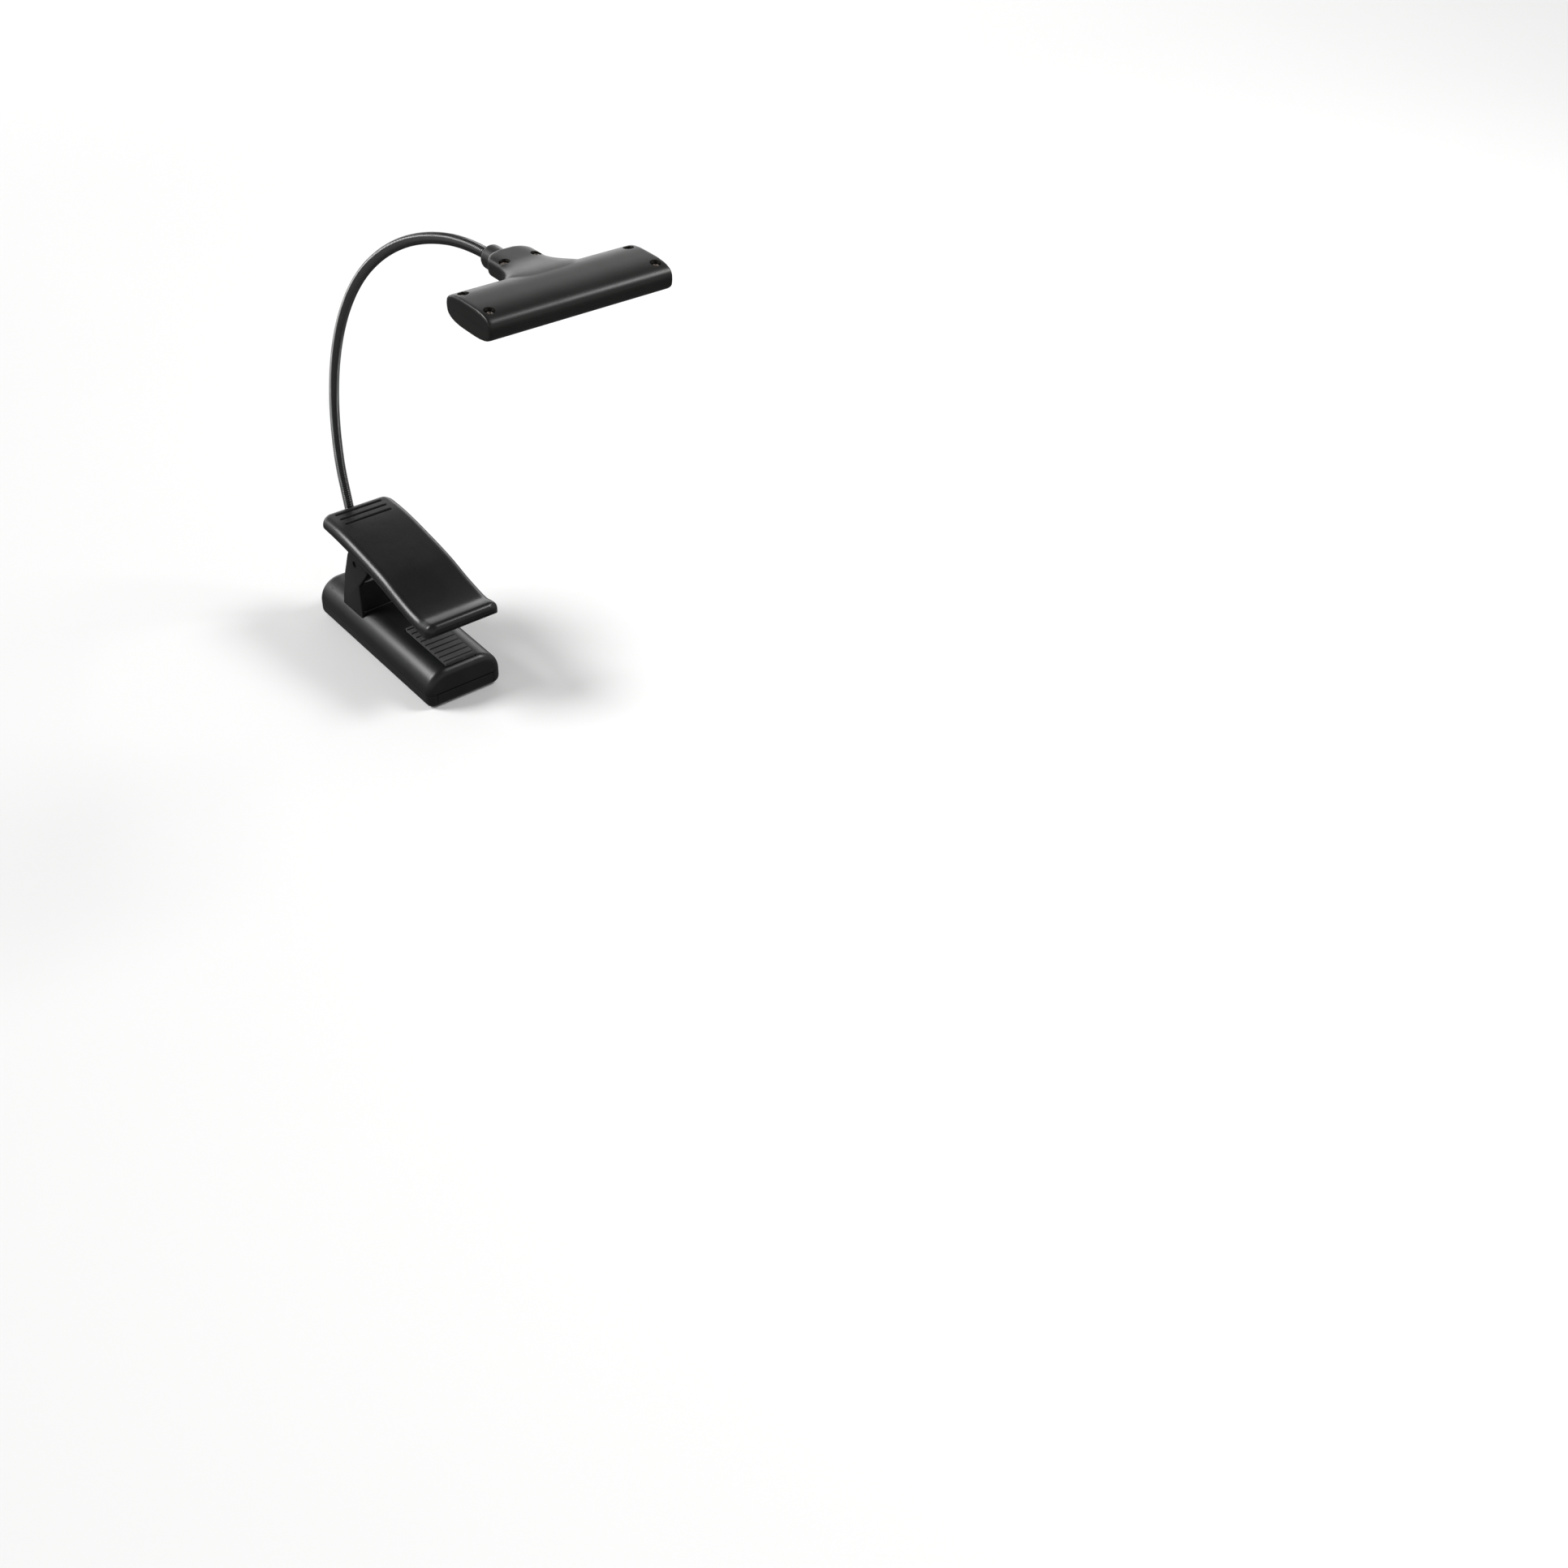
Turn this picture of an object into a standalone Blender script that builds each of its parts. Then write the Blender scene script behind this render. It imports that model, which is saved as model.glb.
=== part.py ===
"""Clip-on reading lamp: a battery case that is the lower jaw of a clip, a sprung lever above it,
a gooseneck and a light bar with six lamps.

Metres, +Z up. X runs across the clip, -Y is the way the jaw opens, and the origin is the middle
of the case's flat bottom.
"""

import math

import bmesh
import bpy
from mathutils import Matrix, Vector

# Sizes that everything shares
GAP = 0.0003  # between pieces that seat on or beside each other
RUNNING_GAP = 0.00015  # between a shaft and its hole

# Battery case, the lower jaw
CASE_WALL = 0.0014
CASE_SIDE_ROOM = 0.00275  # inside, beside the cells
CASE_HEADROOM = 0.0009  # inside, above the cells
CASE_BACK_ROOM = 0.02  # inside, behind the partition
CASE_TOP_RADIUS = 0.0085
CASE_BOTTOM_RADIUS = 0.003
CASE_END_ROUNDING = 0.0015
PARTITION_WALL = 0.0012

# Battery door, in the bottom of the case
DOOR_WIDTH = 0.0228
DOOR_TAB_WIDTH = 0.0036
DOOR_TAB_LENGTH = 0.0026
DOOR_TAB_THICKNESS = 0.0008
DOOR_RIDGES = 4
DOOR_RIDGE_PITCH = 0.0016
DOOR_RIDGE_WIDTH = 0.0007
DOOR_RIDGE_LENGTH = 0.011

# AAA cells
CELL_RADIUS = 0.00525
CELL_LENGTH = 0.0435
CELL_NUB_RADIUS = 0.0019
CELL_NUB_HEIGHT = 0.001
CELL_CLEARANCE = 0.0005  # between the two cells
CONTACT_THICKNESS = 0.0004
CONTACT_SIDE = 0.0072
CONTACT_SPRING_LENGTH = 0.0058
CONTACT_SPRING_RADIUS = 0.0026
CONTACT_WIRE = 0.0003
CONTACT_TURNS = 3

# Jaw pads
LOWER_PAD_WIDTH = 0.0118
LOWER_PAD_LENGTH = 0.027
LOWER_PAD_THICKNESS = 0.0014
PAD_SEAT_DEPTH = 0.0005
UPPER_PAD_WIDTH = 0.0225
UPPER_PAD_LENGTH = 0.0034
UPPER_PAD_THICKNESS = 0.0014

# Clip hinge
PIVOT_RISE = 0.0197  # above the case
PIVOT_AHEAD = 0.0184  # in front of the neck's base
PIN_RADIUS = 0.0012
PIN_RECESS = 0.0007
EAR_THICKNESS = 0.0018
EAR_RADIUS = 0.0052
EAR_FOOT = 0.0037  # below the case's top
THROAT_WALL_THICKNESS = 0.0015
THROAT_WALL_RISE = 0.0115

# Lever, the upper jaw and its handle
LEVER_WIDTH = 0.0288
LEVER_WALL = 0.0016
LEVER_EDGE_RADIUS = 0.0032
LEVER_BACK_CORNER = 0.0035
LEVER_TIP_CORNER = 0.002
LEVER_TOP_SHAPE = (  # (Y, Z) from the pivot, along the crown from the handle's end to the tip
    (0.0197, 0.0110), (0.0072, 0.0108), (-0.0078, 0.0089), (-0.0218, 0.0064),
    (-0.0348, 0.0028), (-0.0443, 0.0012), (-0.0488, 0.0019), (-0.0523, 0.0022),
)
LEVER_SKIRT_SHAPE = (  # (Y, Z) from the pivot, along the lower edge
    (0.0197, 0.0073), (0.0072, 0.0066), (-0.0078, 0.0048), (-0.0218, 0.0022),
    (-0.0348, -0.0008), (-0.0443, -0.0028), (-0.0498, -0.0040), (-0.0523, 0.0010),
)
NOSE_LENGTH = 0.0065
GRIP_GROOVES = 3
GRIP_PITCH = 0.0035
GRIP_FIRST = 0.003  # from the handle's end to the first groove
GRIP_LENGTH = 0.0188
GRIP_WIDTH = 0.0012
GRIP_DEPTH = 0.0006
LUG_THICKNESS = 0.0018
LUG_RADIUS = 0.003

# Clip spring
SPRING_WIRE = 0.0004
SPRING_RADIUS = 0.0024
SPRING_TURNS = 7
SPRING_PITCH = 0.00115
SPRING_LEG = 0.0125
SPRING_LEG_UP = 24.0  # degrees above the horizontal
SPRING_LEG_DOWN = -46.0

# Gooseneck
NECK_RADIUS = 0.00175
NECK_SETBACK = 0.0092  # from the case's back to the neck's base
NECK_TILT = 11.5
NECK_ARCS = (  # (length, tilt from the vertical at its end in degrees)
    (0.0375, 11.5), (0.010, 2.0), (0.0965, -50.0), (0.055, -75.0), (0.0235, -90.0),
)
NECK_IN_HEAD = 0.0065  # straight end, held in the head's boss
NECK_JOINTS = (0.052, 0.088, 0.124, 0.160, 0.196)  # distances along the neck
NECK_BELOW = 0.004  # hidden length inside the case
NECK_STEP = 0.0045
NECK_JOINT_GAP = 0.00025
FERRULE_WALL = 0.0004
FERRULE_BELOW = 0.0052
FERRULE_ABOVE = 0.0011
NECK_BOSS_RADIUS = 0.0043
NECK_BOSS_HEIGHT = 0.003
NECK_NUT_RADIUS = 0.0032
NECK_NUT_HEIGHT = 0.0014
GROMMET_HEIGHT = 0.0012

# Power button and its switch, in the case's back wall
BUTTON_RADIUS = 0.0026
BUTTON_PROUD = 0.0012
BUTTON_TRAVEL = 0.001
BUTTON_FLANGE_RADIUS = 0.0031
BUTTON_FLANGE = 0.0007
BUTTON_RISE = 0.004  # above the circuit board
SWITCH_WIDTH = 0.0068
SWITCH_DEPTH = 0.0026
SWITCH_HEIGHT = 0.0066
BOARD_THICKNESS = 0.001
BOARD_WIDTH = 0.0122
BOARD_RISE = 0.003  # above the case's floor
RESISTOR_RADIUS = 0.0009
RESISTOR_LENGTH = 0.005

# Screws
SCREW_HEAD_RADIUS = 0.0017
SCREW_HEAD_HEIGHT = 0.0011
SCREW_SHANK_RADIUS = 0.0007
HEAD_SCREW_SHANK = 0.0042
SCREW_SLOT_WIDTH = 0.0005
SCREW_SLOT_DEPTH = 0.0005
POST_RADIUS = 0.0021
CASE_SCREW_BITE = 0.003  # length of a case screw in its post
CASE_POST_INSET = 0.0051  # from the case's side
CASE_POST_MARGIN = 0.0045  # from the back room's two ends

# Light bar
BAR_LENGTH = 0.0594
BAR_DEPTH = 0.0212
BAR_THICKNESS = 0.0084
BAR_RISE = 0.0025  # of its middle above the neck's end
BAR_WALL = 0.0011
BAR_END_ROUNDING = 0.0006
BAR_POWER = 3.0  # exponent of the bar's rounded section
TONGUE_WIDTH = 0.0150
TONGUE_ROOT_WIDTH = 0.026
TONGUE_THICKNESS = 0.0062
TONGUE_LENGTH = 0.0163
TONGUE_DROP = 0.0003  # of its middle below the bar's
TONGUE_CORNER = 0.0032
HEAD_BOSS_RADIUS = 0.0036
HEAD_BOSS_LENGTH = 0.008
BAR_SCREW_INSET = 0.0029  # from the bar's end
BAR_SCREW_OFFSET_Y = 0.0062
TONGUE_SCREW_X = 0.0052
TONGUE_SCREW_AHEAD = 0.0073
HEAD_SCREW_SINK = 0.0007  # from the crown down to the screw head
WINDOW_FRAME = 0.00645  # from the bar's end to the window
WINDOW_DEPTH = 0.0120
LED_COUNT = 6
LED_MARGIN = 0.00475  # from the window's end to the first lamp
LED_RADIUS = 0.0015
LED_RIM_RADIUS = 0.0018
LED_BARREL = 0.0016
LED_BOARD_THICKNESS = 0.0008
REFLECTOR_THICKNESS = 0.0008

# Sizes and places worked out from the ones above
CELL_SPACING = 2 * CELL_RADIUS + CELL_CLEARANCE
CELL_ROOM = CELL_LENGTH + CELL_NUB_HEIGHT + CONTACT_SPRING_LENGTH + 4 * GAP
CASE_WIDTH = CELL_SPACING + 2 * (CELL_RADIUS + CASE_SIDE_ROOM + CASE_WALL)
CASE_HEIGHT = 2 * (CELL_RADIUS + CASE_WALL) + GAP + CASE_HEADROOM
CASE_LENGTH = (2 * (CASE_WALL + CONTACT_THICKNESS + GAP) + CELL_ROOM + PARTITION_WALL + CASE_BACK_ROOM)
CASE_FRONT = -CASE_LENGTH / 2
CASE_BACK = CASE_LENGTH / 2
CASE_INNER_FRONT = CASE_FRONT + CASE_WALL
CASE_INNER_BACK = CASE_BACK - CASE_WALL
CASE_SPLIT_Z = CASE_HEIGHT - CASE_TOP_RADIUS
CASE_INNER_TOP = CASE_HEIGHT - CASE_WALL
CELL_Z = CASE_WALL + GAP + CELL_RADIUS
CONTACT_FRONT_Y = CASE_INNER_FRONT + GAP + CONTACT_THICKNESS
CONTACT_BACK_Y = CONTACT_FRONT_Y + CELL_ROOM
PARTITION_Y = CONTACT_BACK_Y + CONTACT_THICKNESS + GAP
DOOR_BACK_Y = CONTACT_BACK_Y - 0.004
CASE_POST_X = CASE_WIDTH / 2 - CASE_POST_INSET
CASE_POST_Y = (PARTITION_Y + PARTITION_WALL + CASE_POST_MARGIN - 0.001, CASE_INNER_BACK - CASE_POST_MARGIN)
BOARD_Z = CASE_WALL + BOARD_RISE
BUTTON_Z = BOARD_Z + BOARD_THICKNESS + BUTTON_RISE
NECK_BASE_Y = CASE_BACK - NECK_SETBACK
PIVOT_Y = NECK_BASE_Y - PIVOT_AHEAD
PIVOT_Z = CASE_HEIGHT + PIVOT_RISE
EAR_OUTER_X = LEVER_WIDTH / 2 - LEVER_WALL - GAP
PIN_LENGTH = 2 * (EAR_OUTER_X - PIN_RECESS)
THROAT_Y = PIVOT_Y - 0.0013
LEVER_TOP = [(PIVOT_Y + y, PIVOT_Z + z) for y, z in LEVER_TOP_SHAPE]
LEVER_SKIRT = [(PIVOT_Y + y, PIVOT_Z + z) for y, z in LEVER_SKIRT_SHAPE]
LEVER_BACK = LEVER_TOP[0][0]
LEVER_TIP = LEVER_TOP[-1][0]
WINDOW_LENGTH = BAR_LENGTH - 2 * WINDOW_FRAME
LED_PITCH = (WINDOW_LENGTH - 2 * LED_MARGIN) / (LED_COUNT - 1)
BAR_SCREW_X = BAR_LENGTH / 2 - BAR_SCREW_INSET

FINISHES = {  # colour, roughness, metallic
    "black_plastic": ((0.013, 0.013, 0.014), 0.40, 0.0),
    "black_gloss_plastic": ((0.010, 0.010, 0.011), 0.25, 0.0),
    "black_rubber": ((0.018, 0.018, 0.018), 0.80, 0.0),
    "black_steel": ((0.035, 0.036, 0.038), 0.34, 1.0),
    "bright_steel": ((0.62, 0.61, 0.59), 0.28, 1.0),
    "spring_steel": ((0.50, 0.50, 0.50), 0.32, 1.0),
    "cell_wrap": ((0.10, 0.16, 0.22), 0.35, 0.0),
    "green_board": ((0.02, 0.13, 0.06), 0.45, 0.0),
    "white_plastic": ((0.80, 0.80, 0.78), 0.40, 0.0),
    "clear_plastic": ((0.85, 0.88, 0.90), 0.08, 0.0),
    "led_epoxy": ((0.92, 0.92, 0.84), 0.12, 0.0),
}


# ---------------------------------------------------------------- scene and helpers


def clear_scene():
    for obj in list(bpy.data.objects):
        bpy.data.objects.remove(obj, do_unlink=True)


def new_collection(name):
    made = bpy.data.collections.new(name)
    bpy.context.scene.collection.children.link(made)
    return made


def add_object(name, data, finish=None):
    """Links an object. One without a finish is a cutter or a guide."""
    obj = bpy.data.objects.new(name, data)
    (PARTS if finish else CUTTERS).objects.link(obj)
    if finish is None:
        obj.hide_render = True
        obj.display_type = "WIRE"
        return obj
    colour, roughness, metallic = FINISHES[finish]
    material = bpy.data.materials.new(name)
    material.use_nodes = True
    shader = material.node_tree.nodes["Principled BSDF"]
    shader.inputs["Base Color"].default_value = (*colour, 1.0)
    shader.inputs["Roughness"].default_value = roughness
    shader.inputs["Metallic"].default_value = metallic
    data.materials.clear()
    data.materials.append(material)
    return obj


def from_bmesh(name, shape, finish=None, smooth=False):
    mesh = bpy.data.meshes.new(name)
    bmesh.ops.recalc_face_normals(shape, faces=shape.faces)
    shape.to_mesh(mesh)
    shape.free()
    if smooth:
        mesh.shade_smooth()
        mesh.set_sharp_from_angle(angle=math.radians(35))
    return add_object(name, mesh, finish)


def box(name, low, high, finish=None):
    shape = bmesh.new()
    bmesh.ops.create_cube(shape, size=1.0)
    low, high = Vector(low), Vector(high)
    bmesh.ops.scale(shape, vec=high - low, verts=shape.verts)
    bmesh.ops.translate(shape, vec=(low + high) / 2, verts=shape.verts)
    return from_bmesh(name, shape, finish)


def rod(name, radius, start, end, finish=None, sides=20, end_radius=None):
    """A round bar, or a cone with an end_radius, from start to end."""
    start, end = Vector(start), Vector(end)
    along = end - start
    shape = bmesh.new()
    bmesh.ops.create_cone(
        shape, cap_ends=True, segments=sides, depth=along.length,
        radius1=radius, radius2=radius if end_radius is None else end_radius,
    )
    turn = along.to_track_quat("Z", "Y").to_matrix().to_4x4()
    bmesh.ops.transform(shape, matrix=Matrix.Translation((start + end) / 2) @ turn, verts=shape.verts)
    return from_bmesh(name, shape, finish, smooth=True)


def mesh_of_curve(curve_object, finish):
    """The curve as a welded mesh object in the same place."""
    bpy.context.view_layer.update()
    graph = bpy.context.evaluated_depsgraph_get()
    mesh = bpy.data.meshes.new_from_object(curve_object.evaluated_get(graph))
    shape = bmesh.new()
    shape.from_mesh(mesh)
    bmesh.ops.remove_doubles(shape, verts=shape.verts, dist=1e-6)
    shape.transform(curve_object.matrix_world)
    name = curve_object.name
    bpy.data.objects.remove(curve_object, do_unlink=True)
    bpy.data.meshes.remove(mesh)
    return from_bmesh(name, shape, finish, smooth=True)


ACROSS_X = Matrix(((0, 0, 1, 0), (1, 0, 0, 0), (0, 1, 0, 0), (0, 0, 0, 1)))  # outline in (Y, Z)
ACROSS_Y = Matrix(((1, 0, 0, 0), (0, 0, -1, 0), (0, 1, 0, 0), (0, 0, 0, 1)))  # outline in (X, Z)
ACROSS_Z = Matrix.Identity(4)  # outline in (X, Y)


def plate(name, outline, across, low, high, finish=None):
    """A flat outline, extruded along X, Y or Z from low to high."""
    curve = bpy.data.curves.new(name, "CURVE")
    curve.dimensions = "2D"
    curve.fill_mode = "BOTH"
    curve.extrude = (high - low) / 2
    spline = curve.splines.new("POLY")
    spline.points.add(len(outline) - 1)
    for point, (u, v) in zip(spline.points, outline):
        point.co = (u, v, 0.0, 1.0)
    spline.use_cyclic_u = True
    obj = add_object(name, curve)
    middle = (low + high) / 2
    if across is ACROSS_Y:
        middle = -middle
    obj.matrix_world = across @ Matrix.Translation((0.0, 0.0, middle))
    return mesh_of_curve(obj, finish)


def tube(name, path, radii, finish, sides_level=2):
    """A round wire along a path, with a radius at each of its points."""
    curve = bpy.data.curves.new(name, "CURVE")
    curve.dimensions = "3D"
    curve.bevel_depth = 1.0
    curve.bevel_resolution = sides_level
    curve.use_fill_caps = True
    spline = curve.splines.new("POLY")
    spline.points.add(len(path) - 1)
    for point, place, radius in zip(spline.points, path, radii):
        point.co = (*place, 1.0)
        point.radius = radius
    return mesh_of_curve(add_object(name, curve), finish)


def turned(name, profile, place, finish, steps=20):
    """A ring turned from a closed profile of (radius, height), outer side first, top to bottom."""
    shape = bmesh.new()
    corners = [shape.verts.new((radius, 0.0, height)) for radius, height in profile]
    for first, second in zip(corners, corners[1:] + corners[:1]):
        shape.edges.new((first, second))
    mesh = bpy.data.meshes.new(name)
    shape.to_mesh(mesh)
    shape.free()
    obj = add_object(name, mesh, finish)
    screw = obj.modifiers.new("Turn", "SCREW")
    screw.steps = steps
    screw.render_steps = steps
    screw.use_merge_vertices = True
    screw.merge_threshold = 1e-5
    obj.matrix_world = place
    return obj


def loft(name, rings, finish=None):
    """A closed skin over rings that all have the same number of corners."""
    shape = bmesh.new()
    loops = [[shape.verts.new(corner) for corner in ring] for ring in rings]
    count = len(loops[0])
    for first, second in zip(loops, loops[1:]):
        for i in range(count):
            j = (i + 1) % count
            shape.faces.new((first[i], first[j], second[j], second[i]))
    shape.faces.new(loops[0])
    shape.faces.new(loops[-1])
    return from_bmesh(name, shape, finish, smooth=True)


def boolean(target, tools, operation):
    for tool in tools:
        step = target.modifiers.new(tool.name, "BOOLEAN")
        step.operation = operation
        step.object = tool
    return target


def cut(target, *tools):
    return boolean(target, tools, "DIFFERENCE")


def join(target, *tools):
    return boolean(target, tools, "UNION")


def keep(target, *tools):
    return boolean(target, tools, "INTERSECT")


def round_edges(target, width, segments, angle=60.0):
    bevel = target.modifiers.new("Rounded edges", "BEVEL")
    bevel.width = width
    bevel.segments = segments
    bevel.limit_method = "ANGLE"
    bevel.angle_limit = math.radians(angle)
    return target


def arc(centre, radius, start, end, steps):
    """Points of an arc, angles in degrees, both ends included."""
    angles = [math.radians(start + (end - start) * i / steps) for i in range(steps + 1)]
    return [(centre[0] + radius * math.cos(a), centre[1] + radius * math.sin(a)) for a in angles]


def smooth_value(points, at):
    """The height at a place on the smooth curve through (place, height) points."""
    points = sorted(points)
    at = min(max(at, points[0][0]), points[-1][0])
    i = max(k for k in range(len(points) - 1) if points[k][0] <= at)
    (x0, y0), (x1, y1) = points[i], points[i + 1]

    def slope(k):
        low, high = max(k - 1, 0), min(k + 1, len(points) - 1)
        return (points[high][1] - points[low][1]) / (points[high][0] - points[low][0])

    width = x1 - x0
    t = (at - x0) / width
    bend = (t**3 - 2 * t**2 + t) * slope(i) + (t**3 - t**2) * slope(i + 1)
    return y0 + (y1 - y0) * (3 * t**2 - 2 * t**3) + width * bend


# ---------------------------------------------------------------- the neck's line


def neck_frame(distance):
    """The neck's place at a distance along it from the case's top: +Z runs along the neck."""
    y, z, tilt = NECK_BASE_Y, CASE_HEIGHT, math.radians(NECK_TILT)
    left = distance
    if left < 0:
        y += left * math.sin(tilt)
        z += left * math.cos(tilt)
        left = 0.0
    for length, end_tilt in (*NECK_ARCS, (NECK_IN_HEAD, NECK_ARCS[-1][1])):
        if left <= 0:
            break
        run = min(left, length)
        final = tilt + (math.radians(end_tilt) - tilt) * run / length
        if abs(final - tilt) < 1e-9:
            y += run * math.sin(tilt)
            z += run * math.cos(tilt)
        else:
            radius = run / (final - tilt)
            y += radius * (math.cos(tilt) - math.cos(final))
            z += radius * (math.sin(final) - math.sin(tilt))
        tilt = final
        left -= run
    return Matrix.Translation((0.0, y, z)) @ Matrix.Rotation(-tilt, 4, "X")


def neck_place(distance):
    return neck_frame(distance).translation


NECK_LENGTH = sum(length for length, _ in NECK_ARCS) + NECK_IN_HEAD
NECK_TOP = neck_place(NECK_LENGTH)
HEAD_BOSS_Z = NECK_TOP.z
TONGUE_BACK_Y = NECK_TOP.y + NECK_IN_HEAD - HEAD_BOSS_LENGTH
TONGUE_SCREW_Y = TONGUE_BACK_Y - TONGUE_SCREW_AHEAD
BAR_Y = TONGUE_BACK_Y - TONGUE_LENGTH - BAR_DEPTH / 2
BAR_Z = NECK_TOP.z + BAR_RISE
TONGUE_Z = BAR_Z - TONGUE_DROP


# ---------------------------------------------------------------- screws


def screw(name, place, shank_length):
    """A cross-slot screw. Its place's +Z leaves the head's top, which is at the place's origin."""
    head, shank = SCREW_HEAD_RADIUS, SCREW_SHANK_RADIUS
    shape = bmesh.new()
    bmesh.ops.create_cone(
        shape, cap_ends=True, segments=16, depth=SCREW_HEAD_HEIGHT, radius1=head, radius2=head * 0.82,
    )
    bmesh.ops.transform(shape, matrix=place @ Matrix.Translation((0, 0, -SCREW_HEAD_HEIGHT / 2)),
                        verts=shape.verts)
    obj = from_bmesh(name, shape, "bright_steel", smooth=True)
    bottom = -SCREW_HEAD_HEIGHT - shank_length
    stem = rod(name + "_stem", shank, place @ Vector((0, 0, bottom)),
               place @ Vector((0, 0, -SCREW_HEAD_HEIGHT / 2)), sides=12)
    join(obj, stem)
    half, depth = SCREW_SLOT_WIDTH / 2, SCREW_SLOT_DEPTH
    for turn in (0.0, 90.0):
        slot = box(f"{name}_slot_{turn:.0f}", (-head * 0.55, -half, -depth), (head * 0.55, half, depth))
        slot.matrix_world = place @ Matrix.Rotation(math.radians(turn), 4, "Z")
        cut(obj, slot)
    return obj


# ---------------------------------------------------------------- battery case


def case_outline(inset):
    """The case's section in (X, Z), drawn in by a wall."""
    top_radius = CASE_TOP_RADIUS - inset
    bottom_radius = CASE_BOTTOM_RADIUS - inset
    inner_x = CASE_WIDTH / 2 - CASE_TOP_RADIUS
    low_x = CASE_WIDTH / 2 - CASE_BOTTOM_RADIUS
    right = arc((low_x, CASE_BOTTOM_RADIUS), bottom_radius, -90, 0, 4)
    right += arc((inner_x, CASE_SPLIT_Z), top_radius, 0, 90, 10)
    return right + [(-x, z) for x, z in reversed(right)]


def case_block(name, inset, finish=None):
    block = plate(name, case_outline(inset), ACROSS_Y, CASE_FRONT + inset, CASE_BACK - inset, finish)
    if inset == 0.0:
        round_edges(block, CASE_END_ROUNDING, 3)
    return block


def below_case_split(name, offset):
    reach = CASE_LENGTH
    return box(name, (-reach, -reach, -reach), (reach, reach, CASE_SPLIT_Z + offset))


def ear_outline():
    """A clip ear in (Y, Z): its foot in the case's shoulder, its top round the pivot."""
    foot = CASE_HEIGHT - EAR_FOOT
    back = [(PIVOT_Y + 0.0127, foot), (PIVOT_Y + 0.0083, PIVOT_Z - 0.0068)]
    top = arc((PIVOT_Y, PIVOT_Z), EAR_RADIUS, 25, 100, 5)
    nose = arc((PIVOT_Y - 0.0070, PIVOT_Z + 0.0008), 0.0016, 100, 235, 4)
    return back + top + nose + [(THROAT_Y, PIVOT_Z - 0.0085), (THROAT_Y, foot)]


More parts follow.
